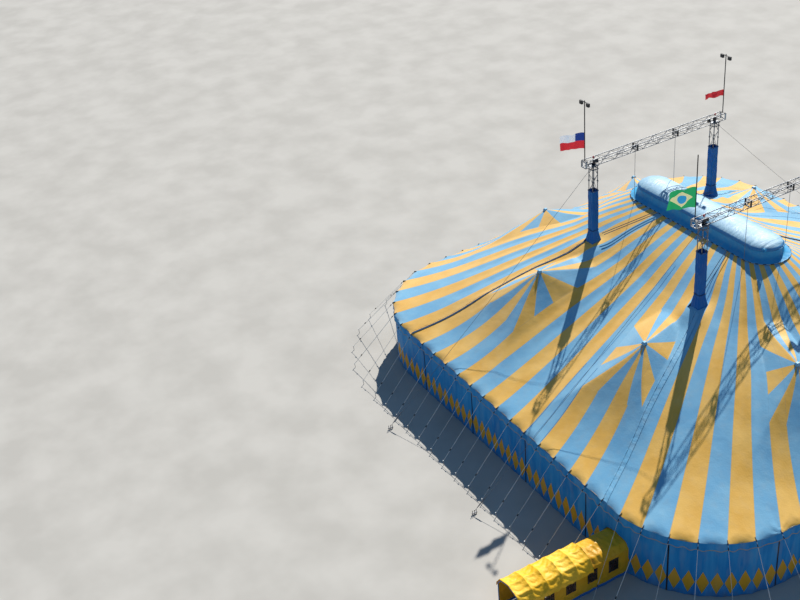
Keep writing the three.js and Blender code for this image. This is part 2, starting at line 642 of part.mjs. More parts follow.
// Entrance tunnel
const TUNNEL_CLOTH = 30;
const TUNNEL_INNER_Y = -EAVE_HALF_Y + 300;
const WINDOW_Y = -15600; // the first window's middle
const WINDOW_PITCH = 1290;
const WINDOW_COUNT = 4;
const WINDOW_HALF = 270;
const WINDOW_LOW = 720;
const WINDOW_HIGH = 1420;
const OVERSHEET_Y = -16890; // the over-sheet covers the tunnel from here to its end
const OVERSHEET_DROP = 240;
const SHOULDER = 350; // the roof's shoulders above the tunnel's eave
const wallSpace = upright(stations(12, 19), WALL_OUT + GAP, 1800, -100, 4000);
const tunnelWall = (side) => {
  const outer = TUNNEL_X + side * TUNNEL_HALF;
  const inner = outer - side * TUNNEL_CLOTH;
  const [lowX, highX] = [Math.min(outer, inner), Math.max(outer, inner)];
  let wall = box([lowX, TUNNEL_END_Y, 0], [highX, TUNNEL_INNER_Y, TUNNEL_EAVE]);
  for (let i = 0; i < WINDOW_COUNT; i++) {
    const y = WINDOW_Y - WINDOW_PITCH * i;
    const low = [outer - 100, y - WINDOW_HALF, WINDOW_LOW];
    const high = [outer + 100, y + WINDOW_HALF, WINDOW_HIGH];
    wall = wall.subtract(box(low, high));
  }
  return wall.subtract(wallSpace);
};
add("tunnel_wall_right", tunnelWall(1), COLOURS.tunnel, 0.6);
add("tunnel_wall_left", tunnelWall(-1), COLOURS.tunnel, 0.6);
const roofProfile = (grow, drop) => {
  const half = TUNNEL_HALF + grow;
  const eave = TUNNEL_EAVE + GAP;
  const shoulder = TUNNEL_EAVE + SHOULDER + grow;
  const side = 0.7 * half;
  const arch = [[-half, eave], [-side, shoulder], [0, TUNNEL_RIDGE + grow], [side, shoulder], [half, eave]];
  return drop ? [[-half, TUNNEL_EAVE - drop], ...arch, [half, TUNNEL_EAVE - drop]] : arch;
};
const tunnelShell = (grow, drop, from, to) => {
  const rows = (g) => [from, to].map((y) => roofProfile(g, drop).map(([x, z]) => V(TUNNEL_X + x, y, z)));
  return sheet(rows(grow), rows(grow - TUNNEL_CLOTH)).subtract(wallSpace);
};
add("tunnel_roof", tunnelShell(0, 0, TUNNEL_END_Y, TUNNEL_INNER_Y), COLOURS.tunnel, 0.6);
const oversheetGrow = TUNNEL_CLOTH + 1.5 * GAP;
const oversheet = tunnelShell(oversheetGrow, OVERSHEET_DROP, TUNNEL_END_Y - TUNNEL_LAP, OVERSHEET_Y);
add("tunnel_oversheet", oversheet, COLOURS.yellow, 0.6);

export default group;
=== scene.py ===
# A four-mast circus big top: striped roof on lattice masts, ridge cupola, side walls and entrance tunnel
import bpy
import math
import numpy as np
from mathutils import Matrix, Vector


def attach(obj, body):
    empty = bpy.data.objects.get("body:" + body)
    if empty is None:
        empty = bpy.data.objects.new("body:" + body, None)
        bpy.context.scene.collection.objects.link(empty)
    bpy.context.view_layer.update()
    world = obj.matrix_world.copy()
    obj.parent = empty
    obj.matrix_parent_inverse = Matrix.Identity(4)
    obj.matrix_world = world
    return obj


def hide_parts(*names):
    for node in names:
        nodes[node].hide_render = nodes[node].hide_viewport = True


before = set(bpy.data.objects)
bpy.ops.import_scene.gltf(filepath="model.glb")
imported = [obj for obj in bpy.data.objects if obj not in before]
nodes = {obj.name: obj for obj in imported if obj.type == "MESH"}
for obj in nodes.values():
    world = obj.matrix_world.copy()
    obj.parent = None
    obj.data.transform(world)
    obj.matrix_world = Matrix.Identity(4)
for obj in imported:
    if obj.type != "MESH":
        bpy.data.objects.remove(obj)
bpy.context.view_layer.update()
tentCentre = Vector((0, 1.3175, 0))  # under the middle of the cupola; every piece is drawn about it
print("frame loaded:", len(nodes), "nodes")

# Camera: angles in radians, the focal length and the picture's width in pixels, the sensor in millimetres
camera = {"place": (44.807, -43.039, 43.782), "heading": 1.097949, "tilt": 0.554248, "roll": -0.100613,
          "focal": 1192.82, "picture": 800, "sensor": 36}


def addCamera(c):
    h, t, roll = c["heading"], c["tilt"], c["roll"]
    ahead = Vector((-math.sin(h) * math.cos(t), math.cos(h) * math.cos(t), -math.sin(t)))
    level = Vector((math.cos(h), math.sin(h), 0))
    above = level.cross(ahead)
    right = level * math.cos(roll) + above * math.sin(roll)
    up = above * math.cos(roll) - level * math.sin(roll)
    lens = bpy.data.cameras.new("camera")
    lens.lens = c["focal"] * c["sensor"] / c["picture"]
    lens.sensor_width = c["sensor"]
    lens.clip_end = 1000
    made = bpy.data.objects.new("camera", lens)
    made.matrix_world = Matrix.Translation(Vector(c["place"]) + tentCentre) @ Matrix(
        (right, up, -ahead)).transposed().to_4x4()
    bpy.context.scene.collection.objects.link(made)
    bpy.context.scene.camera = made


addCamera(camera)


# Materials
def linear(hexColour):
    # sRGB hex to linear light
    parts = [int(hexColour[i:i + 2], 16) / 255 for i in (1, 3, 5)]
    return tuple(p / 12.92 if p <= 0.04045 else ((p + 0.055) / 1.055) ** 2.4 for p in parts) + (1.0,)


def addNode(tree, kind, *sources, out=0, named=None, **settings):
    # sources feed the inputs in turn, as plain values or other nodes' outputs; named ones go by input name
    node = tree.nodes.new("ShaderNode" + kind)
    for key, value in settings.items():
        setattr(node, key, value)
    for key, source in [*enumerate(sources), *(named or {}).items()]:
        if isinstance(source, bpy.types.NodeSocket):
            tree.links.new(source, node.inputs[key])
        elif source is not None:
            node.inputs[key].default_value = source
    return node.outputs[out]


def newMaterial(name, colour, roughness, **shader):
    material = bpy.data.materials.new(name)
    material.use_nodes = True
    material.diffuse_color = linear(colour)
    principled = material.node_tree.nodes["Principled BSDF"]
    for key, value in {"Base Color": linear(colour), "Roughness": roughness, **shader}.items():
        principled.inputs[key].default_value = value
    return material, material.node_tree, principled


def patches(tree, size, low=0.0, high=1.0, where=(0.35, 0.65), stretch=(1, 1, 1), detail=3.0):
    # cloudy patches about so many millimetres across, running between two values
    place = addNode(tree, "TexCoord", out="Object")
    place = addNode(tree, "Mapping", place, named={"Scale": stretch})
    cloud = addNode(tree, "TexNoise", place, named={"Scale": 1000 / size, "Detail": detail})
    return addNode(tree, "MapRange", cloud, where[0], where[1], low, high)


def relief(tree, principled, *layers):
    # each layer is a height pattern and its depth in millimetres
    normal = None
    for height, depth in layers:
        normal = addNode(tree, "Bump", named={"Height": height, "Distance": depth / 1000, "Normal": normal})
    tree.links.new(normal, principled.inputs["Normal"])


# PVC-coated polyester: a satin skin, faded in patches of a metre or two, with dust where it wrinkles. The
# scrim under the skin has 1 mm threads, far too fine to show, so its grain is drawn at 70 mm
coating = {"fading": 1700, "dust": 380, "dustColour": "#b3a68c", "wear": 600, "grain": 70, "grainDepth": 2}


def coatedCloth(name, colour, faded, roughness=0.5, wrinkle=1100, depth=25, stretch=(1, 1, 1), paint=None,
                dust=0.22, **shader):
    # wrinkle and depth are the size and height of its wrinkles in millimetres; paint adds a pattern to it
    material, tree, principled = newMaterial(name, colour, roughness, **{"Specular IOR Level": 0.3, **shader})
    cloth = addNode(tree, "MixRGB", patches(tree, coating["fading"]), linear(colour), linear(faded))
    if paint:
        cloth = paint(tree, cloth)
    dusty = patches(tree, coating["dust"], 0.0, dust, (0.48, 0.8), stretch, 6.0)
    cloth = addNode(tree, "MixRGB", dusty, cloth, linear(coating["dustColour"]))
    tree.links.new(cloth, principled.inputs["Base Color"])
    worn = patches(tree, coating["wear"], roughness - 0.06, roughness + 0.1)
    tree.links.new(worn, principled.inputs["Roughness"])
    relief(tree, principled, (patches(tree, wrinkle, stretch=stretch), depth),
           (patches(tree, coating["grain"]), coating["grainDepth"]))
    return material


def hardFinish(name, colour, dirt, roughness, metallic=1.0, grain=60, share=0.6):
    # metal, paint or moulded plastic: dirt and oxide in patches, grain millimetres across, and rougher there
    material, tree, principled = newMaterial(name, colour, roughness, Metallic=metallic)
    wear = patches(tree, grain, 0.0, share, (0.42, 0.72), detail=5.0)
    surface = addNode(tree, "MixRGB", wear, linear(colour), linear(dirt))
    tree.links.new(surface, principled.inputs["Base Color"])
    tree.links.new(patches(tree, grain, roughness - 0.08, roughness + 0.16), principled.inputs["Roughness"])
    relief(tree, principled, (patches(tree, grain / 2), 0.6))
    return material


# Star round each quarter pole, cut from the two cloths so that its gores change colour against the stripes
star = {
    # the stripe line of each quarter pole, and which way round its star's corners run
    "lines": {2: -1, 12: 1, 23: 1, 33: -1, 44: -1, 54: 1, 65: 1, 75: -1},
    # corners in turn: stripes across from the peak, and metres along towards the eave
    "corners": [(-2, -1.68), (-1, -3.01), (0, -3.05), (1, -3.11), (1.6, -1.37), (1.8, -0.13), (1.75, 1.14),
                (1.8, 2.53), (1, 2.81), (0, 2.46), (-1, 2.54), (-2, 2.38), (-2, 1.03), (-2, -0.21)],
    "stripe": 0.75,  # a stripe's mean width there, in metres
    "spread": 0.16,  # how far the cone lifts its own edge, as a share of its height
    "samples": np.linspace(0, 1, 9),  # places along a gore's edge where the cloth outside is measured
    "fade": 3.4,  # metres in which the cloth outside comes back to the net
    "nearest": 7,  # stripes to each side that a star may reach
    "farthest": 10.0,  # metres that stand for 1 in the ramp of edge lines
}


def starRamps(tree, angle):
    # by the angle round the peak, one ramp gives each gore's edge line, the other its colour. An edge line is
    # its unit normal and its distance from the peak, packed into a colour
    corners = [(a * star["stripe"], b) for a, b in star["corners"]]
    gores = []
    for k, p in enumerate(corners):
        q = corners[(k + 1) % len(corners)]
        edge = np.array([q[1] - p[1], p[0] - q[0]]) / math.hypot(q[1] - p[1], p[0] - q[0])
        away = edge @ np.array(p)
        edge, away = (edge, away) if away > 0 else (-edge, -away)
        gores.append((math.atan2(p[1], p[0]) / (2 * math.pi) + 0.5, edge, away, 1 - k % 2))
    inTurn = gores[1][0] < gores[2][0]
    order = sorted(range(len(gores)), key=lambda k: gores[k][0])
    ramps = []
    for kind in ("edge", "colour"):
        ramp = addNode(tree, "ValToRGB", angle).node
        ramp.color_ramp.interpolation = "CONSTANT"
        stops = []
        for k in order:
            _, edge, away, colour = gores[k if inTurn else k - 1]
            line = (edge[0] / 2 + 0.5, edge[1] / 2 + 0.5, away / star["farthest"], 1)
            stops.append((gores[k][0], line if kind == "edge" else (colour, colour, colour, 1)))
        stops.insert(0, (0.0, stops[-1][1]))
        elements = ramp.color_ramp.elements
        while len(elements) < len(stops):
            elements.new(0.5)
        for element, (place, value) in zip(elements, stops):
            element.position = place
            element.color = value
        ramps.append(ramp.outputs[0])
    return ramps


roofPaint = {"gold": "#dba53d", "fadedGold": "#e4b355", "goldPatch": 1500, "weld": "#4f6f86",
             "weldFrom": 0.482, "weldShare": 0.16}


def paintRoof(tree, blue):
    # stripes of the two cloths by the stripe line, and inside each star its gores' own turn of them
    stripe, along, across, own = (addNode(tree, "Attribute", out="Fac", attribute_name=name)
                                  for name in ("stripe", "starAlong", "starAcross", "starColour"))
    across = addNode(tree, "Math", across, star["stripe"], operation="MULTIPLY")
    whole = addNode(tree, "Math", stripe, operation="FLOOR")
    odd = addNode(tree, "Math", whole, 2.0, operation="FLOORED_MODULO")
    striped = addNode(tree, "Math", 1.0, odd, operation="SUBTRACT")
    angle = addNode(tree, "Math", along, across, operation="ARCTAN2")
    angle = addNode(tree, "Math", angle, 2 * math.pi, operation="DIVIDE")
    edges, gores = starRamps(tree, addNode(tree, "Math", angle, 0.5, operation="ADD"))
    # how far out a point lies across its gore's edge line
    split = addNode(tree, "SeparateColor", edges).node.outputs
    reach = []
    for channel, way in ((split[0], across), (split[1], along)):
        slope = addNode(tree, "Math", channel, 2.0, -1.0, operation="MULTIPLY_ADD")
        reach.append(addNode(tree, "Math", slope, way, operation="MULTIPLY"))
    reach = addNode(tree, "Math", *reach, operation="ADD")
    edgeLine = addNode(tree, "Math", split[2], star["farthest"], operation="MULTIPLY")
    inside = addNode(tree, "Math", reach, edgeLine, operation="LESS_THAN")
    outside = addNode(tree, "Math", 1.0, inside, operation="SUBTRACT")
    gore = addNode(tree, "Math", addNode(tree, "SeparateColor", gores), own, 0.1, operation="COMPARE")
    yellow = addNode(tree, "Math", addNode(tree, "Math", inside, gore, operation="MULTIPLY"),
                     addNode(tree, "Math", outside, striped, operation="MULTIPLY"), operation="ADD")
    gold = addNode(tree, "MixRGB", patches(tree, roofPaint["goldPatch"]), linear(roofPaint["gold"]),
                   linear(roofPaint["fadedGold"]))
    cloth = addNode(tree, "MixRGB", yellow, blue, gold)
    # an overlapped weld about 40 mm wide along each stripe line
    weld = stripe
    for operation, *value in (("FRACT",), ("SUBTRACT", 0.5), ("ABSOLUTE",),
                              ("GREATER_THAN", roofPaint["weldFrom"]), ("MULTIPLY", roofPaint["weldShare"])):
        weld = addNode(tree, "Math", weld, *value, operation=operation)
    return addNode(tree, "MixRGB", weld, cloth, linear(roofPaint["weld"]))


# Trims, in metres: the valance's bound edge, the tunnel's foot hem, the band round the dome's foot and the
# dark hanks on the laced rope. The pale streaks' size is in millimetres
trim = {"streak": "#55a9d6", "streakSize": 420, "streakShare": 0.45,
        "edge": "#9c8c6a", "edgeAt": 0.035, "edgeHalf": 0.019, "hem": "#2d6fb0", "hemHeight": 0.2,
        "band": "#4688b8", "bandHeight": 0.15, "hank": "#1b2733", "hankPitch": 0.4, "hankShare": 0.45}


def paleStreaks(tree, cloth, stretch):
    # paler in long streaks down the hung cloth
    streaks = patches(tree, trim["streakSize"], 0.0, trim["streakShare"], (0.4, 0.7), stretch)
    return addNode(tree, "MixRGB", streaks, cloth, linear(trim["streak"]))


wallPaint = {"diamond": "#dba02a", "middle": 0.88, "halfHeight": 0.7, "halfWidth": 0.46,
             "joint": "#0c1a2a", "panel": 4.0, "jointFrom": 0.4915,
             "footTone": "#6f675a", "footToneSize": 330, "footToneTop": 0.4, "footToneShare": 0.6}


def paintWall(tree, blue):
    # golden diamonds in a row, two to a stripe, a dark laced joint at each panel, a grey-brown tone in
    # patches towards the foot
    place, height = (addNode(tree, "Attribute", out="Fac", attribute_name=name)
                     for name in ("wallStripe", "wallHeight"))
    sideways, upwards, joint = place, height, place
    for operation, *value in (("MULTIPLY", 2.0), ("FRACT",), ("SUBTRACT", 0.5), ("ABSOLUTE",),
                              ("DIVIDE", wallPaint["halfWidth"])):
        sideways = addNode(tree, "Math", sideways, *value, operation=operation)
    for operation, *value in (("SUBTRACT", wallPaint["middle"]), ("ABSOLUTE",),
                              ("DIVIDE", wallPaint["halfHeight"])):
        upwards = addNode(tree, "Math", upwards, *value, operation=operation)
    for operation, *value in (("SUBTRACT", 1.0), ("DIVIDE", wallPaint["panel"]), ("FRACT",),
                              ("SUBTRACT", 0.5), ("ABSOLUTE",), ("GREATER_THAN", wallPaint["jointFrom"])):
        joint = addNode(tree, "Math", joint, *value, operation=operation)
    reach = addNode(tree, "Math", sideways, upwards, operation="ADD")
    diamond = addNode(tree, "Math", reach, 1.0, operation="LESS_THAN")
    cloth = paleStreaks(tree, blue, (1, 1, 0.09))
    cloth = addNode(tree, "MixRGB", diamond, cloth, linear(wallPaint["diamond"]))
    cloth = addNode(tree, "MixRGB", joint, cloth, linear(wallPaint["joint"]))
    low = addNode(tree, "MapRange", height, 0.0, wallPaint["footToneTop"], wallPaint["footToneShare"], 0.0)
    footTone = addNode(tree, "Math", low, patches(tree, wallPaint["footToneSize"], detail=6.0), operation="MULTIPLY")
    return addNode(tree, "MixRGB", footTone, cloth, linear(wallPaint["footTone"]))


def paintValance(tree, blue):
    # a tan bound edge that follows the waves
    above = addNode(tree, "Attribute", out="Fac", attribute_name="aboveHem")
    edge = addNode(tree, "Math", above, trim["edgeAt"], operation="SUBTRACT")
    edge = addNode(tree, "Math", edge, operation="ABSOLUTE")
    edge = addNode(tree, "Math", edge, trim["edgeHalf"], operation="LESS_THAN")
    return addNode(tree, "MixRGB", edge, paleStreaks(tree, blue, (1, 1, 0.15)), linear(trim["edge"]))


def paintHem(tree, gold):
    # the tunnel's blue foot hem
    height = addNode(tree, "Attribute", out="Fac", attribute_name="tunnelHeight")
    hem = addNode(tree, "Math", height, trim["hemHeight"], operation="LESS_THAN")
    return addNode(tree, "MixRGB", hem, gold, linear(trim["hem"]))


def paintDome(tree, pale):
    # a mid-blue band round the dome's foot
    height = addNode(tree, "Attribute", out="Fac", attribute_name="domeHeight")
    band = addNode(tree, "Math", height, trim["bandHeight"], operation="LESS_THAN")
    return addNode(tree, "MixRGB", band, pale, linear(trim["band"]))


def paintDashes(tree, white):
    # a laced rope with dark hanks along it
    part = addNode(tree, "Attribute", out="Fac", attribute_name="along")
    for operation, *value in (("DIVIDE", trim["hankPitch"]), ("FRACT",), ("LESS_THAN", trim["hankShare"])):
        part = addNode(tree, "Math", part, *value, operation=operation)
    return addNode(tree, "MixRGB", part, white, linear(trim["hank"]))


materials = {
    # roof: light blue and gold vinyl, chalky from the sun, with broad slack wrinkles
    "roof": coatedCloth("roofVinyl", "#60a0c3", "#74adc9", 0.55, 1900, 16, paint=paintRoof, dust=0.12,
                        **{"Specular IOR Level": 0.22, "Sheen Weight": 0.4, "Sheen Roughness": 0.5}),
    # side walls and valance: mid-blue vinyl hung in folds, matt and streaked, painted darker than the cloth's
    # own blue as shade
    "wall": coatedCloth("wallVinylDarkenedAsShade", "#0f76b9", "#2288c6", 0.6, 900, 40, (1, 1, 0.25), paintWall,
                        **{"Specular IOR Level": 0.12}),
    "valance": coatedCloth("valanceVinylDarkenedAsShade", "#177bbd", "#2b8dc8", 0.6, 700, 35, (1, 1, 0.3), paintValance,
                           **{"Specular IOR Level": 0.12}),
    # cupola wall and skirt: the same cloth in plain blue, painted darker than its own blue as shade, drawn
    # tight
    "cupolaWall": coatedCloth("cupolaWallVinylDarkenedAsShade", "#2c90c0", "#3f9fcb", 0.55, 600, 12),
    # cupola top: pale blue vinyl, glossier, drawn into cross puckers by the lacing
    "cupolaTop": coatedCloth("cupolaTopVinyl", "#86adc4", "#98bbcd", 0.5, 420, 9, (4, 1, 1), paintDome, 0.12,
                             **{"Specular IOR Level": 0.4}),
    # seam flaps and peak hoods: the roof's blue, newer
    "paleVinyl": coatedCloth("paleBlueVinyl", "#6ba9ca", "#80b6d2", 0.5, 400, 12),
    # mast sleeves: heavy dark blue vinyl in long folds
    "sleeve": coatedCloth("sleeveVinyl", "#0a5ba6", "#1a69ae", 0.55, 500, 22, (1, 1, 0.3), dust=0.08,
                          **{"Specular IOR Level": 0.15}),
    # tunnel vinyl: golden yellow, folded and a little dusty
    "tunnel": coatedCloth("tunnelVinyl", "#d89c12", "#e3ab1c", 0.5, 500, 30, paint=paintHem, dust=0.06),
    # over-sheet: newer bright yellow vinyl, matt, crumpled from the fold
    "oversheet": coatedCloth("oversheetVinyl", "#edb41a", "#f2bf34", 0.55, 300, 12, dust=0.04),
    # binding tape and control cords: mid-blue, smooth
    "binding": coatedCloth("bindingVinyl", "#2f6fae", "#4a86bd", 0.5, 300, 8),
    # window webbing: coated gauze, near black; the peaks' collars use it as painted shade under their hoods
    "gauze": coatedCloth("windowGauze", "#1c2226", "#2c3338", 0.7, 200, 6),
    # extruded aluminium: mill finish, dull, with grey oxide in patches
    "aluminium": hardFinish("millAluminium", "#7f8286", "#54585e", 0.5, 0.85),
    # galvanised steel: dull zinc spangle
    "steel": hardFinish("galvanisedSteel", "#a2a6a9", "#6d7074", 0.5, 1.0, 40),
    # painted steel of flagpoles, clamps, ratchets and window bars: near black, worn through in patches
    "blackSteel": hardFinish("blackPaintedSteel", "#22252a", "#57504a", 0.5, 0.2, 50, 0.4),
    # painted white brackets, chalky
    "whiteSteel": hardFinish("whitePaintedSteel", "#b9bcbd", "#8f8c86", 0.55, 0.0, 70, 0.4),
    # moulded polycarbonate of the warning lamp: clear red
    "redLamp": hardFinish("redPolycarbonate", "#c3201f", "#8a1512", 0.25, 0.0, 30, 0.3),
    # polyester webbing and rope: matt off-white, greyed by handling
    "webbing": coatedCloth("polyesterWebbing", "#c9cac4", "#dadbd6", 0.85, 90, 3, dust=0.3),
    # the cupola's lacing: the same rope, its white painted a dull blue-grey as shade, hanked with dark cord
    "lacedRope": coatedCloth("lacedRope", "#7f9db1", "#93adbd", 0.85, 90, 3, paint=paintDashes),
    # polypropylene cord and ties: dark blue, dull; the left seams' narrow strips use it as painted shade
    "darkCord": coatedCloth("polypropyleneCord", "#173a5c", "#24496b", 0.7, 90, 2),
    # wire rope: grey strands
    "wireRope": hardFinish("wireRope", "#77797d", "#4b4d50", 0.5, 0.7, 30),
}
print("materials made:", len(materials))


# Mesh helpers
def addPiece(name, points, faces, material, slot, replaces=(), values=None):
    mesh = bpy.data.meshes.new(name)
    mesh.from_pydata(np.asarray(points, float).reshape(-1, 3).tolist(), [], [list(face) for face in faces])
    mesh.materials.append(materials[material] if isinstance(material, str) else material)
    mesh.polygons.foreach_set("use_smooth", [True] * len(mesh.polygons))
    mesh.set_sharp_from_angle(angle=math.radians(50))
    for key, value in (values or {}).items():
        numbers = np.asarray(value, np.float32).ravel()
        mesh.attributes.new(key, "FLOAT", "POINT").data.foreach_set("value", numbers)
    mesh.update()
    piece = bpy.data.objects.new(name, mesh)
    piece.location = tentCentre
    bpy.context.scene.collection.objects.link(piece)
    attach(piece, "root")
    if replaces:
        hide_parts(*replaces)
    return piece


def gridFaces(rows, columns, closed=False):
    # four-sided faces of a grid of points, counted row by row
    i, j = np.meshgrid(np.arange(rows - 1), np.arange(columns if closed else columns - 1), indexing="ij")
    k = (j + 1) % columns
    corners = [i * columns + j, i * columns + k, (i + 1) * columns + k, (i + 1) * columns + j]
    return np.stack(corners, -1).reshape(-1, 4)


def tube(path, radius, sides=6):
    # a round tube along a path of points, closed at its ends
    path = np.asarray(path, float)
    ahead = np.gradient(path, axis=0)
    ahead /= np.linalg.norm(ahead, axis=1)[:, None]
    side = np.cross(ahead, (0, 0, 1) if np.abs(ahead[:, 2]).max() < 0.95 else (1, 0, 0))
    side /= np.linalg.norm(side, axis=1)[:, None]
    up = np.cross(side, ahead)
    turn = 2 * math.pi * np.arange(sides) / sides
    ring = side[:, None] * np.cos(turn)[:, None] + up[:, None] * np.sin(turn)[:, None]
    points = path[:, None] + ring * np.broadcast_to(radius, len(path))[:, None, None]
    last = (len(path) - 1) * sides
    ends = [list(range(sides))[::-1], list(range(last, last + sides))]
    return points.reshape(-1, 3), gridFaces(len(path), sides, closed=True).tolist() + ends


def block(middle, size, taper=1.0):
    # a box, its top drawn in by the taper
    x, y, z = middle
    a, b, c = (s / 2 for s in size)
    points = [(x + sx * a * t, y + sy * b * t, z + sz * c) for sz, t in ((-1, 1), (1, taper))
              for sx, sy in ((-1, -1), (1, -1), (1, 1), (-1, 1))]
    return points, [(0, 3, 2, 1), (4, 5, 6, 7), (0, 1, 5, 4), (1, 2, 6, 5), (2, 3, 7, 6), (3, 0, 4, 7)]


def merged(parts):
    # several sets of points and faces as one
    points, faces, count = [], [], 0
    for p, f in parts:
        points.append(np.asarray(p, float).reshape(-1, 3))
        faces += [[v + count for v in face] for face in f]
        count += len(points[-1])
    return np.concatenate(points), faces


longestCut = 30.0  # metres that one length of cloth is measured at, at most


def layCloth(points, faces, cut=None):
    # works out a cloth grid's cut and area, off the shaped cloth unless a cut is given, and keeps neither
    across = np.linalg.norm(np.diff(points, axis=1), axis=2).sum(1).max()
    along = np.linalg.norm(np.diff(points, axis=0), axis=2).sum(0).max()
    corners = points.reshape(-1, 3)[faces]
    crossed = np.cross(corners[:, 2] - corners[:, 0], corners[:, 3] - corners[:, 1])
    area = 0.5 * np.linalg.norm(crossed, axis=1).sum()
    width, length = cut or (round(min(float(across), longestCut), 2), round(float(along), 2))
    area = round(min(float(area), width * length), 2)


def runLength(points):
    # how far along its own line each point of a path lies
    return np.concatenate([[0], np.cumsum(np.linalg.norm(np.diff(points, axis=0), axis=1))])


# Plan of the tent: stripe lines run from the cupola's foot to the eave, counted from the front left seam
plan = {"halfX": 15.7, "halfY": 14.85, "corner": 5.7, "bow": 0.42, "seamEave": 9.28, "seamFoot": 2.93,
        "centreX": 4.42, "footHalf": 1.45, "sideStripes": 14, "endStripes": 28}
# seamEave and seamFoot: how far round from the middle of a long side the seams meet the eave and the foot
stripes = 2 * (plan["sideStripes"] + plan["endStripes"])


def eaveQuarter():
    # a quarter of the eave: half of a long side, a round corner, and half of an end that bows out
    straightX, straightY = plan["halfX"] - plan["corner"], plan["halfY"] - plan["corner"]
    turn = np.radians(np.arange(90) - 90)
    walk = np.linspace(0, 1, 91)
    points = np.concatenate([
        np.stack([straightX * walk[:-1], np.full(90, -plan["halfY"])], 1),
        np.stack([straightX + plan["corner"] * np.cos(turn), -straightY + plan["corner"] * np.sin(turn)], 1),
        np.stack([np.full(91, plan["halfX"]), -straightY * (1 - walk)], 1)])
    share = np.minimum(1, np.abs(points[:, 0]) / plan["halfX"]) ** 4
    points[:, 0] += plan["bow"] * (1 - (points[:, 1] / plan["halfY"]) ** 2) * share
    return points


def footQuarter():
    # a quarter of the cupola's foot, where the stripes start
    turn = np.radians(-90 + 3 * np.arange(1, 31))
    arc = np.stack([plan["centreX"] + plan["footHalf"] * np.cos(turn), plan["footHalf"] * np.sin(turn)], 1)
    return np.concatenate([[[0, -plan["footHalf"]], [plan["centreX"], -plan["footHalf"]]], arc])


eaveCurve, footCurve = [(points, runLength(points), seam) for points, seam in (
    (eaveQuarter(), plan["seamEave"]), (footQuarter(), plan["seamFoot"]))]


def planPoint(curve, line):
    # where a stripe line meets the eave or the foot
    points, lengths, seam = curve
    half, quarter = stripes / 2, plan["sideStripes"] / 2
    whole = np.mod(np.asarray(line, float), stripes)
    back = whole >= half
    v = np.where(back, whole - half, whole)
    part = (v - plan["sideStripes"]) / (plan["endStripes"] / 2)
    s = np.where(v <= plan["sideStripes"], seam * np.abs(v - quarter) / quarter,
                 seam + (lengths[-1] - seam) * np.where(part <= 1, part, 2 - part))
    x, y = np.interp(s, lengths, points[:, 0]), np.interp(s, lengths, points[:, 1])
    x = np.where(v <= quarter, -x, x)
    y = np.where((v > plan["sideStripes"]) & (part > 1), -y, y)
    sign = np.where(back, -1.0, 1.0)
    return np.stack([x * sign, y * sign], -1)


def outward(line):
    # the way out from the tent, square to the eave
    step = planPoint(eaveCurve, np.asarray(line) + 0.2) - planPoint(eaveCurve, np.asarray(line) - 0.2)
    step /= np.linalg.norm(step, axis=-1)[..., None]
    return np.stack([step[..., 1], -step[..., 0]], -1)


def offEave(line, out):
    # a plan point at a distance outside the eave
    low = np.floor(line)
    out = np.asarray(out)[..., None]
    a, b = [planPoint(eaveCurve, whole) + outward(whole) * out for whole in (low, low + 1)]
    return a + (b - a) * (line - low)[..., None]


# Roof: a weighted net hung from the cupola's foot, the masts and quarter poles and the eave
roof = {
    # the net: heights of eave and foot, rings between them, its finest split, load, and rounds to settle it
    "eave": 3.5, "foot": 10.15, "rings": 8, "fine": 6, "load": 0.043, "rounds": 500,
    # what holds it up, and how far it is drawn towards them
    "mast": (4.55, 4.57, 8.56), "sidePeak": (4.68, 8.40, 7.75), "endPeak": (10.7, 3.59, 7.75), "reach": 1.3,
    "mastRing": 2, "peakRing": 4, "mastCollar": 0.34, "peakCap": 0.22, "capSlope": 0.25, "mastHole": 0.25,
    # mean metres of a ring and of a stripe at the eave, and points across a stripe of cloth
    "ringLength": 1.65, "eaveStripe": 1.25, "perStripe": 12,
    # what the net is too coarse for
    "scallopIn": 0.07, "scallopReach": 1.2, "lipWidth": 0.36, "lipDrop": 0.10, "valleys": 0.03, "crown": 0.13,
    "tieFolds": 0.007, "foldsRound": 9, "foldReach": 0.7,
    # stripe lines where the ties bunch the cloth, and how many times deeper its folds are there
    "gathered": (21, 77), "gather": 5,
    # the cone of cloth round a mast, and the band round it where the net is measured for its edge
    "mastCone": 1.7, "coneBlend": 0.7, "measuredBand": 0.35,
    # rings where the cloth is cut into rows, ever closer down to the rolled edge
    "lipRows": [7.45, 7.55, 7.64, 7.72, 7.78, 7.83, 7.87, 7.91, 7.945, 7.975, 8],
}
supports = ([(line, roof["mastRing"], roof["mast"], roof["mastCollar"]) for line in (0, 14, 42, 56)]
            + [(line, roof["peakRing"], roof["sidePeak"], roof["peakCap"]) for line in (2, 12, 44, 54)]
            + [(line, roof["peakRing"], roof["endPeak"], roof["peakCap"]) for line in (23, 33, 65, 75)])


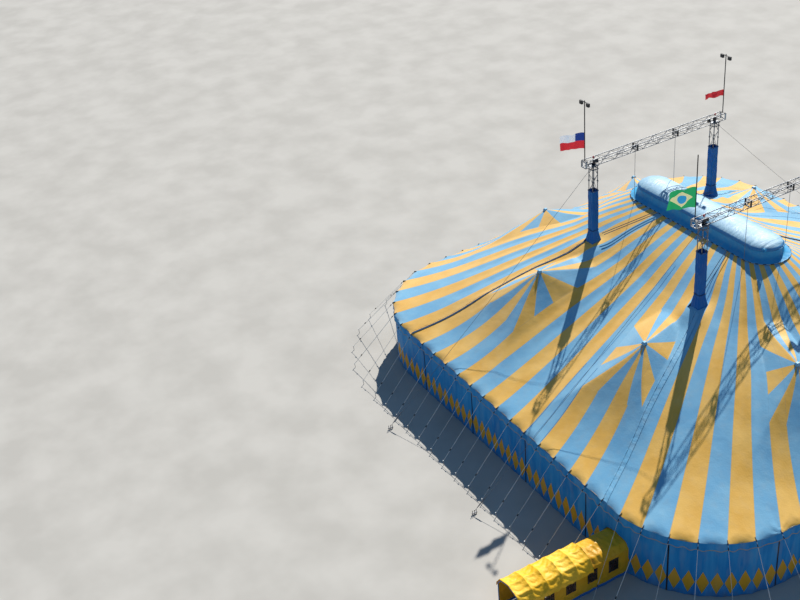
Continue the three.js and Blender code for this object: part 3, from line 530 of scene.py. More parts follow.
def netAt(split, start=None):
    # plan and heights of the net, with each stripe and each ring split into as many parts
    lines = np.arange(stripes * split) / split
    rings = np.arange(roof["rings"] * split + 1) / split
    a, b = planPoint(footCurve, lines), planPoint(eaveCurve, lines)
    base = a + (b - a) * (rings[:, None, None] / roof["rings"])
    fade = np.minimum(1, np.minimum(rings, roof["rings"] - rings))[:, None]
    flat = base.copy()
    for line, ring, (x, y, z), _ in supports:
        own = base[ring * split, line * split]
        move = np.sign(own) * (x, y) - own
        flat += move * (fade * np.exp(-((base - own) ** 2).sum(2) / (2 * roof["reach"] ** 2)))[..., None]
    if start is None:
        slope = roof["foot"] + (roof["eave"] - roof["foot"]) * rings / roof["rings"]
        z = np.repeat(slope[:, None], len(lines), 1)
    else:
        old, oldSplit = start
        wide = np.concatenate([old, old[:, :1]], 1)
        byLine = np.stack([np.interp(lines, np.arange(wide.shape[1]) / oldSplit, row) for row in wide])
        z = np.stack([np.interp(rings, np.arange(len(byLine)) / oldSplit, column) for column in byLine.T], 1)
    held, heldZ = np.zeros(z.shape, bool), z.copy()
    for line, ring, (x, y, top), radius in supports:
        away = np.hypot(*(flat - flat[ring * split, line * split]).transpose(2, 0, 1))
        near = away < (radius if split > 2 else 1e-6)
        held |= near
        heldZ = np.where(near, top - (roof["capSlope"] if ring == roof["peakRing"] else 0.0) * away, heldZ)
    inner = flat[1:-1]
    before, after = np.roll(inner, 1, 1), np.roll(inner, -1, 1)

    def length(p, q):
        return np.hypot(*(p - q).transpose(2, 0, 1))
    radial, hoop = length(flat[:-2], flat[2:]) / 2, length(before, after) / 2
    weights = [hoop / length(inner, flat[:-2]), hoop / length(inner, flat[2:]),
               radial / length(inner, before), radial / length(inner, after)]
    total = sum(weights)
    drop = roof["load"] * radial * hoop / total
    for _ in range(roof["rounds"] * (3 if split == 1 else 1)):
        z[1:-1] = (weights[0] * z[:-2] + weights[1] * z[2:] + weights[2] * np.roll(z[1:-1], 1, 1)
                   + weights[3] * np.roll(z[1:-1], -1, 1)) / total - drop
        z[held] = heldZ[held]
    return flat, z


heights = None
for split in (1, 2, roof["fine"]):
    flat, z = netAt(split, heights)
    heights = (z, split)
net = np.concatenate([flat, z[..., None]], 2)
print("roof net:", z.shape)
fans, rounds = [], []  # filled in once the bare net has been measured for them


def roofAt(lines, rings, lift=0.0):
    # points on the finished cloth: the net's own surface, and what is too small for it to hold
    lines, rings = np.broadcast_arrays(np.asarray(lines, float), np.asarray(rings, float))
    u, v = np.mod(lines, stripes) * roof["fine"], rings * roof["fine"]
    i, j = np.minimum(v.astype(int), len(net) - 2), u.astype(int)
    a, b = (v - i)[..., None], (u - j)[..., None]
    j, k = j % net.shape[1], (j + 1) % net.shape[1]
    points = ((net[i, j] * (1 - b) + net[i, k] * b) * (1 - a)
              + (net[i + 1, j] * (1 - b) + net[i + 1, k] * b) * a)
    fromEave = (roof["rings"] - rings) * roof["ringLength"]
    between = np.abs(np.sin(math.pi * lines))
    # the edge is slack between its ties, pulled in and rolled over
    pulled = roof["scallopIn"] * between * np.clip(1 - fromEave / roof["scallopReach"], 0, 1) ** 2
    points[..., :2] -= outward(lines) * pulled[..., None]
    rolled = between ** 0.6 * np.clip(1 - fromEave / roof["lipWidth"], 0, 1) ** 2
    z = points[..., 2] - roof["lipDrop"] * rolled
    # soft valleys between the welds, a crown over the cupola's foot, and folds that fan out from each tie
    valley = np.sin(math.pi * rings / roof["rings"]) ** 2 * (0.5 - 0.5 * np.cos(2 * math.pi * lines))
    z -= roof["valleys"] * valley
    z += roof["crown"] * np.sin(math.pi * np.clip(rings / roof["mastRing"], 0, 1))
    aside = (lines - np.round(lines)) * roof["eaveStripe"]
    away = np.hypot(aside, fromEave) + 0.01
    more = 1 + sum(roof["gather"] * np.exp(-((lines - line) / 0.5) ** 2) for line in roof["gathered"])
    z += (roof["tieFolds"] * more * np.cos(roof["foldsRound"] * np.arctan2(aside, fromEave))
          * np.exp(-away / roof["foldReach"]) * np.clip(away / 0.15, 0, 1))
    points[..., 2] = z
    if fans:
        fanStars(lines, points)
        spreadMasts(points)
    points[..., 2] += lift
    return points


def peakFoot(peak):
    # where the net stands on a quarter pole
    return net[roof["peakRing"] * roof["fine"], peak * roof["fine"]]


def starFrame(peak, lines, flat):
    # stripes across and metres along from a quarter pole
    a, b = planPoint(footCurve, peak), planPoint(eaveCurve, peak)
    across = (np.mod(lines - peak + stripes / 2, stripes) - stripes / 2) * star["lines"][peak]
    return across, (flat - peakFoot(peak)[:2]) @ ((b - a) / np.linalg.norm(b - a))


def fanStars(lines, points):
    # each star is cut as flat gores, straight from its peak to its corners, and lifts the cloth round it
    corners = np.array([(a * star["stripe"], b) for a, b in star["corners"]])
    for peak, rise, gaps in fans:
        across, along = starFrame(peak, lines, points[..., :2])
        near = np.abs(across) < star["nearest"]
        across = across * star["stripe"]
        for k, p in enumerate(corners):
            q, nextRise = corners[(k + 1) % len(corners)], rise[(k + 1) % len(corners)]
            # u and v are shares of the gore's two corners, and their sum is 1 on its outer edge
            area = p[0] * q[1] - p[1] * q[0]
            u, v = (across * q[1] - along * q[0]) / area, (p[0] * along - p[1] * across) / area
            t = np.maximum(u + v, 1e-6)
            gap = np.interp(v / t, star["samples"], gaps[k])
            beyond = np.hypot(across, along) * (1 - 1 / t)
            outer = gap * np.clip(1 - beyond / star["fade"], 0, 1) ** 2
            inner = peakFoot(peak)[2] + u * rise[k] + v * nextRise - points[..., 2]
            gore = near & (u >= 0) & (v > 0)
            points[..., 2] += np.where(gore, np.where(t < 1, inner, outer), 0)


def roundTerms(dx, dy):
    # a smooth line round a mast, as waves that go up to five times round
    turn = np.arctan2(dy, dx)
    return np.stack([np.cos(k * turn) for k in range(6)] + [np.sin(k * turn) for k in range(1, 6)], -1)


def spreadMasts(points):
    # round a mast the cloth runs straight down from its collar
    collar, cone = roof["mastCollar"], roof["mastCone"]
    for x, y, top, terms in rounds:
        dx, dy = points[..., 0] - x, points[..., 1] - y
        away = np.hypot(dx, dy)
        edge = roundTerms(dx, dy) @ terms
        straight = top + (edge - top) * np.clip((away - collar) / (cone - collar), 0, 1)
        points[..., 2] += (straight - points[..., 2]) * np.clip((cone - away) / roof["coneBlend"], 0, 1)


def underStar(peak, across, along):
    # height of the net above a peak's foot, at a place in its star
    line = np.full(150, peak + star["lines"][peak] * across)
    column = roofAt(line, np.linspace(0.5, 7.9, 150))
    reach = starFrame(peak, line, column[:, :2])[1]
    return np.interp(along, reach, column[:, 2]) - peakFoot(peak)[2]


def measureStars():
    # each peak with the heights of its corners, and the gaps that its gores' edges leave to the cloth outside
    found = []
    corners = np.array(star["corners"])
    for peak in star["lines"]:
        rise = [(1 - star["spread"]) * underStar(peak, *corner) for corner in corners]
        gaps = []
        for k, p in enumerate(corners):
            q, nextRise = corners[(k + 1) % len(corners)], rise[(k + 1) % len(corners)]
            gaps.append([rise[k] * (1 - w) + nextRise * w - underStar(peak, *(p * (1 - w) + q * w))
                         for w in star["samples"]])
        found.append((peak, rise, gaps))
    return found


def measureMasts():
    # each mast with the smooth line that the net makes round it, where its cone of cloth ends
    found = []
    everywhere = roofAt(*np.meshgrid(np.arange(0, stripes, 0.25), np.arange(0.5, 5, 0.05)))
    x, y, top = roof["mast"]
    for sx, sy in ((-1, -1), (-1, 1), (1, -1), (1, 1)):
        dx, dy = everywhere[..., 0] - sx * x, everywhere[..., 1] - sy * y
        off = np.hypot(dx, dy) - roof["mastCone"]
        near = np.abs(off) < roof["measuredBand"]
        terms = roundTerms(dx[near], dy[near])
        terms = np.concatenate([terms, terms * off[near][:, None]], 1)
        fitted = np.linalg.lstsq(terms, everywhere[near][:, 2], rcond=None)[0]
        found.append((sx * x, sy * y, top, fitted[:terms.shape[1] // 2]))
    return found


fans, rounds = measureStars(), measureMasts()
print("stars and masts measured")


def starPlace(lines, flat):
    # where each point lies from its nearest quarter pole, and the colour of that star's own stripe
    across, along, colour = (np.zeros(lines.shape) for _ in range(3))
    spans = [(0, 7, 2, 3), (7, 14, 12, 10), (14, 28, 23, 21), (28, 42, 33, 34),
             (42, 49, 44, 45), (49, 56, 54, 52), (56, 70, 65, 63), (70, 84, 75, 76)]
    for low, high, peak, stripe in spans:
        own = (lines >= low) & (lines <= high)
        ownAcross, ownAlong = starFrame(peak, lines, flat)
        across[own], along[own] = ownAcross[own], ownAlong[own]
        onEnd = 14 <= low < 42 or low >= 56
        colour[own] = 1 - (stripe + onEnd) % 2
    return across, along, colour


def clothRoof():
    sections = [("front", 0, 14), ("right_front", 14, 28), ("right_back", 28, 42), ("back", 42, 56),
                ("left_back", 56, 70), ("left_front", 70, 84)]
    even = np.arange(0, roof["lipRows"][0] - 0.05, 1 / (1.5 * roof["fine"]))
    levels = np.concatenate([even, roof["lipRows"]])
    for name, low, end in sections:
        columns = np.linspace(low, end, (end - low) * roof["perStripe"] + 1)
        line, ring = np.meshgrid(columns, levels)
        points = roofAt(line, ring)
        faces = gridFaces(*line.shape)
        middles = points.reshape(-1, 3)[faces].mean(1)
        fromMast = np.hypot(*(np.abs(middles[:, :2]) - roof["mast"][:2]).T)
        faces = faces[fromMast > roof["mastHole"]]
        # the star of a shared edge line is the one on this section's own side
        inside = np.clip(line, low + 1e-4, end - 1e-4)
        across, along, colour = starPlace(inside, points[..., :2])
        onEnd = name not in ("front", "back")  # the ends' stripes are a line out of step with the long sides'
        piece = addPiece("roofCloth_" + name, points, faces, "roof", "striped_vinyl", ["roof_" + name],
                         {"stripe": line + onEnd, "starAcross": across, "starAlong": along,
                          "starColour": colour})
        layCloth(points, faces)


clothRoof()
print("roof cloth made")

# Seams: the roof's parts are laced at the masts' lines. The right-hand seams have a wide pale flap over the
# lacing, the left-hand ones a narrow dark blue strip, painted shade along the seam's raised ridge
seam = {"lines": ((0, -1), (14, 1), (42, -1), (56, 1)), "from": 2.25, "to": 7.97, "steps": 60,
        "flap": 0.34, "cover": 0.13, "tuck": 0.08, "lift": 0.03, "ripple": 0.005,
        "laceAside": 0.06, "coverLaceAside": 0.2, "dash": 0.26, "pitch": 0.95, "cord": 0.008}


def coverSeams():
    rings = np.linspace(seam["from"], seam["to"], seam["steps"])
    for k, (line, side) in enumerate(seam["lines"]):
        pale = side > 0
        wide = np.linalg.norm(roofAt(line + side, rings) - roofAt(line, rings), axis=1)
        share = np.linspace(-seam["tuck"], 1, 6)[:, None]
        lines = line + side * seam["flap" if pale else "cover"] / wide * share
        points = roofAt(lines, np.broadcast_to(rings, lines.shape), seam["lift"])
        points[..., 2] += seam["ripple"] * np.sin(rings * 37 + share * 5)
        faces = gridFaces(*lines.shape)
        # on the left-hand seams the narrow dark blue strip is painted shade along the raised seam
        piece = addPiece("seamFlap_%d" % (k + 1), points, faces, "paleVinyl" if pale else "darkCord",
                         "pale_blue_vinyl" if pale else "dark_blue_vinyl")
        layCloth(points, faces)
        # the lacing shows as dark loops beside the flap's edge
        aside = seam["laceAside" if pale else "coverLaceAside"]
        row = roofAt(line + side * aside / wide, rings, seam["lift"] + 0.012)
        length = runLength(row)
        parts = [tube(row, 0.5 * seam["cord"])]
        for start in np.arange(0.3, length[-1] - 0.3, seam["pitch"]):
            reach = np.linspace(start, start + seam["dash"] * (1 if pale else 0.5), 4)
            path = np.stack([np.interp(reach, length, c) for c in row.T], 1)
            parts.append(tube(path, seam["cord"]))
        addPiece("seamLacing_%d" % (k + 1), *merged(parts), "darkCord", "dark_blue_vinyl")


# Control cords on the middle blue stripe of each long side: one down its middle and one at each edge
cords = {"middles": (("front", 9.5), ("back", 51.5)),
         "runs": ((0, 1.2, 60), (-0.47, 5.2, 36), (0.47, 5.2, 36)),  # stripes aside, first ring, steps
         "to": 7.9, "lift": 0.010, "radius": 0.006}


def layRoofCords():
    for name, middle in cords["middles"]:
        parts = []
        for aside, start, steps in cords["runs"]:
            rings = np.linspace(start, cords["to"], steps)
            parts.append(tube(roofAt(np.full(steps, middle + aside), rings, cords["lift"]), cords["radius"]))
        addPiece("roofCords_" + name, *merged(parts), "binding", "dark_blue_vinyl")


# A small square hood of pale cloth on each quarter pole, over a near-black collar that is painted shade under
# the hood's edge
cap = {"half": 0.13, "flat": 0.08, "rise": 0.08, "slope": 0.1, "fall": 0.14, "flute": 0.012, "steps": 15,
       "collar": ((-0.16, 0.14), (-0.1, 0.10), (0.02, 0.08))}  # heights and radii of the dark collar painted as shade


def capPeaks():
    a, b = np.meshgrid(np.linspace(-1, 1, cap["steps"]), np.linspace(-1, 1, cap["steps"]))
    square = np.maximum(np.abs(a), np.abs(b)) * cap["half"]
    fall = np.clip((square - cap["flat"]) / (cap["half"] - cap["flat"]), 0, 1)
    flutes = cap["flute"] * fall * np.cos(6 * np.arctan2(b, a))
    height = cap["rise"] - cap["slope"] * square - cap["fall"] * fall + flutes
    x, y = a * cap["half"], b * cap["half"]
    faces = gridFaces(cap["steps"], cap["steps"])
    for k, (line, ring, _, _) in enumerate(s for s in supports if s[1] == roof["peakRing"]):
        own = roofAt(line, ring)
        out = outward(line)
        turned = np.stack([x * out[0] - y * out[1], x * out[1] + y * out[0], height], 2)
        points = own + turned
        piece = addPiece("peakCap_%d" % (k + 1), points, faces, "paleVinyl", "pale_blue_vinyl")
        layCloth(points, faces)
        heights, radii = zip(*cap["collar"])
        # painted shade: a near-black collar under the hood's edge
        collar = tube([own + (0, 0, height) for height in heights], radii, 12)
        addPiece("peakShadeCollar_%d" % (k + 1), *collar, "gauze", "dark_blue_vinyl")


coverSeams()
layRoofCords()
capPeaks()
print("seams, cords and peak caps made")

# Entrance tunnel's sizes, which the wall over its doorway follows too
tunnel = {"x": 10.3, "half": 0.9, "eave": 1.62, "shoulder": 1.97, "shoulderAt": 0.63, "ridge": 2.15,
          "endY": -21.18, "innerY": -14.62, "windows": 4, "windowY": -15.6, "pitch": 1.29, "windowHalf": 0.27,
          "windowLow": 0.72, "windowHigh": 1.42, "bars": (-0.55, 0, 0.55), "crossBar": 1.07,
          "sheetFrom": -16.89, "sheetDrop": 0.24, "hoopPitch": 0.86}

# Side walls, hung from just under the eave
wall = {"out": -0.055, "top": 3.43, "foot": 0.02, "rows": 16, "perStripe": 10, "foldDepth": 0.03,
        "flare": 0.05, "doorFrom": 14.1, "doorTo": 15.34}
wallRuns = [("front", 0, wall["doorFrom"]), ("over_door", wall["doorFrom"], wall["doorTo"]),
            ("right", wall["doorTo"], 28), ("right", 28, 42), ("back", 42, 56), ("left", 56, 70),
            ("left", 70, 84)]


def wallFold(line, height):
    # hanging folds, deeper towards the ground
    share = 1 - np.clip(height / wall["top"], 0, 1)
    wave = (0.6 * np.sin(2 * math.pi * line * 1.5 + 1.3 * np.sin(line))
            + 0.4 * np.sin(2 * math.pi * line * 3.7))
    return wall["foldDepth"] * wave * (0.3 + 0.7 * share) + wall["flare"] * share ** 3


def hangWalls():
    for k, (name, low, high) in enumerate(wallRuns):
        perStripe = wall["perStripe"] * (4 if name == "over_door" else 1)
        columns = np.linspace(low, high, int((high - low) * perStripe) + 1)
        foot = np.full(len(columns), wall["foot"])
        if name == "over_door":
            # the cloth over the doorway is cut to the tunnel's arch, 20 mm clear of it
            aside = np.abs(offEave(columns, np.full(len(columns), wall["out"]))[:, 0] - tunnel["x"])
            arch = np.array([tunnel["ridge"], tunnel["shoulder"], tunnel["eave"], 0]) + wall["foot"]
            foot = np.interp(aside, [0, tunnel["shoulderAt"], tunnel["half"], tunnel["half"] + 0.04], arch)
        share = np.linspace(0, 1, wall["rows"])[:, None]
        height = foot + (wall["top"] - foot) * share
        line = np.broadcast_to(columns, height.shape)
        place = offEave(line, wall["out"] + wallFold(line, height) * np.clip((3.4 - height) / 0.6, 0, 1))
        points = np.concatenate([place, height[..., None]], 2)
        faces = gridFaces(*line.shape)
        piece = addPiece("wallCloth_%d" % (k + 1), points, faces, "wall", "wall_vinyl", ["side_wall_" + name],
                         {"wallStripe": line, "wallHeight": height})
        layCloth(points, faces)


# Valance: a short skirt from the roof's edge, its hem cut in waves
valance = {"out": -0.012, "low": 2.98, "wave": 0.05, "rows": 8, "perStripe": 14, "fold": 0.028, "flare": 0.03,
           "gap": 0.005, "runs": ((7, 28), (28, 49), (49, 70), (70, 91))}


def hangValance():
    for k, (low, high) in enumerate(valance["runs"]):
        columns = np.linspace(low, high, (high - low) * valance["perStripe"] + 1)
        share = np.linspace(0, 1, valance["rows"])[:, None]
        line = np.broadcast_to(columns, (valance["rows"], len(columns)))
        hem = valance["low"] + valance["wave"] * np.cos(4 * math.pi * line)
        edge = roofAt(columns, roof["rings"])
        height = hem + (edge[:, 2] - valance["gap"] - hem) * share
        fold = valance["fold"] * (1 - share) * np.sin(2 * math.pi * line * 2.5 + np.sin(line * 1.7))
        pulled = roof["scallopIn"] * np.abs(np.sin(math.pi * line)) * share
        place = offEave(line, valance["out"] + fold + valance["flare"] * (1 - share) - pulled)
        # its top row is joined to the roof's edge
        place = place + (edge[:, :2] - place[-1]) * share[:, :, None] ** 3
        points = np.concatenate([place, height[..., None]], 2)
        faces = gridFaces(*line.shape)
        piece = addPiece("valanceCloth_%d" % (k + 1), points, faces, "valance", "valance_vinyl", ["valance"],
                         {"aboveHem": height - hem})
        layCloth(points, faces)


hangWalls()
hangValance()
print("walls and valance hung")

# Guy ropes: a webbing strap and dark ratchet at every stripe line, led to a steel stake
guys = {"reach": 2.9, "shift": 0.02, "tunnelLine": 15, "tunnelStake": (11.9, -17.45),
        "rope": 0.009, "stout": 0.013, "sag": 0.03, "low": 0.27, "high": 3.47,
        "stakeTop": 0.32, "stake": 0.017, "lean": 0.03,
        # the strap off the roof's edge: distance out from the eave, height and radius
        "strap": ((-0.16, 3.562, 0.016), (-0.07, 3.53, 0.022), (0.0, 3.505, 0.034), (0.03, 3.46, 0.022),
                  (0.05, 3.40, 0.014)),
        # buckle and ratchet: share of the rope's length down it, and radius
        "fittings": ((0.05, 0.028), (0.82, 0.034)), "fittingEnds": (-0.018, -0.008, 0.008, 0.018)}
sections = ("front", "right_front", "right_back", "back", "left_back", "left_front")
guyNodes = ["guy_ropes_" + name for name in sections]


def rigGuys():
    ropeParts, ratchets, stakes = [], [], []
    share = np.linspace(0, 1, 7)[:, None]
    for line in range(stripes):
        at = line + guys["shift"]
        out = outward(at)
        top = np.append(offEave(at, 0.02), guys["high"])
        foot = guys["tunnelStake"] if line == guys["tunnelLine"] else offEave(at, guys["reach"])
        foot = np.append(foot, guys["low"])
        path = top + (foot - top) * share
        path[:, 2] -= guys["sag"] * np.sin(math.pi * share[:, 0])
        ropeParts.append(tube(path, guys["stout"] if line % 2 == 0 else guys["rope"]))
        strap = [np.append(offEave(at, reach), height) for reach, height, _ in guys["strap"]]
        ratchets.append(tube(strap, [radius for _, _, radius in guys["strap"]], 6))
        for along, size in guys["fittings"]:
            reach = top + (foot - top) * (along + np.array(guys["fittingEnds"]))[:, None]
            ratchets.append(tube(reach, (0.4 * size, size, size, 0.4 * size), 6))
        base = np.array([foot[0], foot[1], 0])
        head = base + (0, 0, guys["stakeTop"])
        lean = np.array([out[0], out[1], 0]) * guys["lean"]
        stakes.append(tube([base - lean, head - (0, 0, 0.02)], guys["stake"], 8))
        stakes.append(tube([head - (0, 0, 0.03), head], (0.03, 0.024), 8))
    addPiece("guyRopes", *merged(ropeParts), "webbing", "guy_webbing", guyNodes)
    addPiece("ratchets", *merged(ratchets), "blackSteel", "pole_painted", guyNodes)
    addPiece("groundStakes", *merged(stakes), "steel", "frame_steel", guyNodes)


rigGuys()
print("guy ropes rigged")

# Cupola: a skirt rises from the laced ring to a nearly upright wall, under a puckered dome
cupola = {"footHalf": 1.45, "footZ": 10.192, "shoulderHalf": 1.11, "shoulderZ": 10.325, "topHalf": 1.06,
          "wallTop": 10.735, "rise": 0.38, "columns": 280, "skirtRows": 6, "wallRows": 7, "domeRows": 21,
          "clear": 0.006, "eyelets": 70, "ripple": 0.008, "droop": 0.012, "hollow": 0.02, "pucker": 0.022,
          "rope": 0.018, "welt": 0.016, "knot": (5.22, -0.74, 10.84), "knotSize": (0.09, 0.05, 0.08),
          "knotRope": 0.03, "wallCut": 0.82, "topCut": (2.4, 11.2), "topArea": 25.6}


def stadium(half, height, count):
    # points round a long ring with half-round ends, evenly spaced by length
    straight, arc = 2 * plan["centreX"], math.pi * half
    points = []
    for d in np.arange(count) / count * (2 * straight + 2 * arc):
        if d < straight:
            p = (-plan["centreX"] + d, -half)
        elif d < straight + arc:
            a = (d - straight) / half - math.pi / 2
            p = (plan["centreX"] + half * math.cos(a), half * math.sin(a))
        elif d < 2 * straight + arc:
            p = (plan["centreX"] - (d - straight - arc), half)
        else:
            a = (d - 2 * straight - arc) / half + math.pi / 2
            p = (-plan["centreX"] + half * math.cos(a), half * math.sin(a))
        points.append((p[0], p[1], height))
    return np.array(points)


def coverCupola():
    count = cupola["columns"]
    turn = np.arange(count) / count
    rows = []
    for t in np.linspace(0, 1, cupola["skirtRows"]):
        # the skirt droops between its eyelets
        half = cupola["footHalf"] + (cupola["shoulderHalf"] - cupola["footHalf"]) * t
        height = cupola["footZ"] + (cupola["shoulderZ"] - cupola["footZ"]) * t
        ring = stadium(half + cupola["clear"], height, count)
        ring[:, 2] += (cupola["ripple"] * np.sin(turn * 2 * math.pi * cupola["eyelets"]) * (1 - t)
                       - cupola["droop"] * math.sin(math.pi * t))
        rows.append(ring)
    for t in np.linspace(0, 1, cupola["wallRows"])[1:]:
        # the wall pulls in between ring and dome
        half = cupola["shoulderHalf"] + (cupola["topHalf"] - cupola["shoulderHalf"]) * t
        height = cupola["shoulderZ"] + (cupola["wallTop"] - cupola["shoulderZ"]) * t
        rows.append(stadium(half + cupola["clear"] - cupola["hollow"] * math.sin(math.pi * t), height, count))
    points = np.array(rows)
    faces = gridFaces(len(rows), count, closed=True)
    piece = addPiece("cupolaWallCloth", points, faces, "cupolaWall", "cupola_blue_vinyl", ["cupola_wall"])
    around = round(float(runLength(points[0])[-1]), 2)
    layCloth(points, faces, (around, cupola["wallCut"]))
    rope = stadium(cupola["footHalf"] + 0.02, cupola["footZ"], 400)
    rope = np.concatenate([rope, rope[:1]])
    # painted shade: the white rope is coloured a shaded blue-grey all round
    addPiece("cupolaLacing", *tube(rope, cupola["rope"]), "lacedRope", "guy_webbing",
             values={"along": np.repeat(runLength(rope), 6)})
    # dome, in rings that shrink to the ridge, with cross puckers 0.31 and 0.19 m apart that wander
    rows = []
    for t in np.linspace(0, 1, cupola["domeRows"]):
        a = t * math.radians(89)
        ring = stadium(max(cupola["topHalf"] * math.cos(a), 0.02), 0, count)
        x, y = ring[:, 0], ring[:, 1]
        wave = (np.abs(np.sin(x * math.pi / 0.31 + 0.9 * np.sin(x * 2.1) + 0.4 * y))
                + 0.7 * np.abs(np.sin(x * math.pi / 0.19 + 1.7 + np.sin(x * 3.3) - 0.5 * y)) - 1.0)
        held = math.sin(math.pi * min(t * 1.4, 1)) ** 0.5 * (t > 0.08)
        ring[:, 2] = cupola["wallTop"] + cupola["rise"] * math.sin(a) + cupola["pucker"] * wave * held
        rows.append(ring)
    points = np.array(rows)
    faces = gridFaces(len(rows), count, closed=True)
    ridge = list(range((len(rows) - 1) * count, len(rows) * count))
    piece = addPiece("cupolaTopCloth", points, faces.tolist() + [ridge], "cupolaTop", "pale_blue_vinyl",
                     ["cupola_top"], {"domeHeight": points[:, :, 2] - cupola["wallTop"]})
    # a welt round the dome's foot, and the knotted end of its lacing
    foot = stadium(cupola["topHalf"] + 0.012, cupola["wallTop"], 200)
    welt = tube(np.concatenate([foot, foot[:1]]), cupola["welt"])
    turn = np.linspace(0, 4 * math.pi, 40)
    loops = np.stack([np.cos(turn), np.sin(1.5 * turn), np.sin(turn)], 1) * cupola["knotSize"]
    knot = tube(cupola["knot"] + loops, cupola["knotRope"])
    addPiece("cupolaWelt", *merged([welt, knot]), "cupolaWall", "cupola_blue_vinyl")


coverCupola()
print("cupola covered")

# Masts and beams: round aluminium tubes in lattices, with head and foot plates and joint blocks
masts = [(-4.55, -4.57), (4.55, -4.57), (-4.55, 4.57), (4.55, 4.57)]
tower = {"half": 0.175, "foot": 0.02, "top": 13.46, "bays": 24, "chord": 0.026, "brace": 0.012,
         "strutEvery": 5,
         # height, size and taper of the plates, and where the lengths of the mast are joined
         "plates": ((0.0125, (0.6, 0.6, 0.025), 0.98), (13.467, (0.48, 0.48, 0.024), 0.97)),
         "joints": (4.6, 9.0, 12.5), "joint": (0.075, 0.075, 0.11)}


def lattice(half, low, high, bays, place):
    # chords at four corners, a zigzag up each face and cross struts every few bays
    corners = [(-half, -half), (half, -half), (half, half), (-half, half)]
    parts = [tube([place(a, b, low), place(a, b, high)], tower["chord"], 8) for a, b in corners]
    steps = np.linspace(low, high, bays + 1)
    for i, (start, end) in enumerate(zip(steps[:-1], steps[1:])):
        for k in range(4):
            p, q = corners[k], corners[(k + 1) % 4]
            p, q = (p, q) if (i + k) % 2 else (q, p)
            parts.append(tube([place(*p, start), place(*q, end)], tower["brace"], 5))
            if i % tower["strutEvery"] == 0:
                parts.append(tube([place(*p, start), place(*q, start)], tower["brace"], 5))
    return parts


def raiseMasts():
    for k, (x, y) in enumerate(masts):
        half = tower["half"]
        parts = lattice(half, tower["foot"], tower["top"], tower["bays"], lambda a, b, s: (x + a, y + b, s))
        parts += [block((x, y, z), size, taper) for z, size, taper in tower["plates"]]
        parts += [block((x + a, y + b, z), tower["joint"], 0.9)
                  for z in tower["joints"] for a in (-half, half) for b in (-half, half)]
        addPiece("latticeMast_%d" % (k + 1), *merged(parts), "aluminium", "lattice_aluminium",
                 ["king_pole_%d" % (k + 1)])


# Beams, with clamps and a shackle over each hanger, a hoist beside each mast, brackets and red lamps. Each
# fitting is its place from the hanger, mast or beam's end, outwards along the beam, then its size and taper
beam = {
    "sides": (("left", -4.55), ("right", 4.55)), "z": 13.70, "half": 0.195, "end": 5.27, "bays": 20,
    "hangerY": 1.51, "mastY": 4.57,
    "clamps": (((-0.205, 0, 0), (0.03, 0.12, 0.40), 0.9), ((0.205, 0, 0), (0.03, 0.12, 0.40), 0.9),
               ((0, 0, -0.2), (0.40, 0.10, 0.03), 0.9), ((0, 0, 0.2), (0.40, 0.10, 0.03), 0.9)),
    "shackle": ((0, 0, -0.02), (0, 0, 0.1), 0.07, 10),
    "hoist": (((0.05, -0.05, 0.02), (0.12, 0.2, 0.18), 0.85),  # motor
              ((-0.12, -0.34, -0.10), (0.13, 0.18, 0.20), 0.8)),  # chain bag
    "pulley": ((-0.03, 0, -0.18), (0.03, 0, -0.18), 0.09, 14),
    "brackets": (((-0.2, -0.05, 0), (0.014, 0.12, 0.34), 0.95), ((0.2, -0.05, 0), (0.014, 0.12, 0.34), 0.95),
                 ((0, -0.02, 0.17), (0.40, 0.05, 0.05), 0.9), ((0, -0.02, -0.17), (0.40, 0.05, 0.05), 0.9)),
    "lamp": ((13.92, 0.05), (13.94, 0.055), (14.0, 0.05), (14.03, 0.02)),  # heights and radii
}


def fitted(fittings, x, y, side=1):
    return [block((x + a, y + side * b, beam["z"] + c), size, taper) for (a, b, c), size, taper in fittings]


def turned(start, end, radius, sides, x, y):
    return tube(np.array([start, end]) + (x, y, beam["z"]), radius, sides)


def hangBeams():
    for name, x in beam["sides"]:
        parts = lattice(beam["half"], -beam["end"], beam["end"], beam["bays"],
                        lambda a, b, s: (x + a, s, beam["z"] + b))
        addPiece("latticeBeam_" + name, *merged(parts), "aluminium", "lattice_aluminium",
                 ["truss_beam_" + name])
        clamps, brackets = [], []
        for y in (-beam["hangerY"], beam["hangerY"]):
            clamps += fitted(beam["clamps"], x, y)
            clamps.append(turned(*beam["shackle"], x, y))
        for side in (-1, 1):
            clamps += fitted(beam["hoist"], x, side * beam["mastY"], side)
            clamps.append(turned(*beam["pulley"], x, side * beam["mastY"]))
            brackets += fitted(beam["brackets"], x, side * beam["end"], side)
        addPiece("beamClamps_" + name, *merged(clamps), "blackSteel", "pole_painted")
        addPiece("beamBrackets_" + name, *merged(brackets), "whiteSteel", "frame_steel")
    heights, radii = zip(*beam["lamp"])
    lamps = [tube([(x, y, height) for height in heights], radii, 12) for x, y in masts]
    addPiece("warningLamps", *merged(lamps), "redLamp", "pole_painted")


raiseMasts()
hangBeams()
print("masts and beams raised")

# Stays of wire rope, from a collar under each head over the roof to an anchor, and two dark ropes from each
# sleeve to the cupola's foot
stays = {"collarZ": 13.26, "collarOut": 0.215, "anchorY": 18.55, "lean": 1.4, "anchorZ": 0.2, "cable": 0.009,
         "sag": 0.12, "pins": (-0.12, 0.0, 0.12), "pinTop": 0.315, "pin": 0.017,
         # bottle screw: share of the stay's length up from the anchor, and radius
         "screw": ((0.012, 0.014), (0.02, 0.028), (0.05, 0.028), (0.058, 0.014))}
sleeveRope = {"in": 0.38, "out": 0.35, "low": 9.05, "high": 10.25, "leftReach": 1.97, "rightReach": 1.32,
              "shifts": ((0.0, "upper"), (0.2, "lower")), "radius": 0.02}


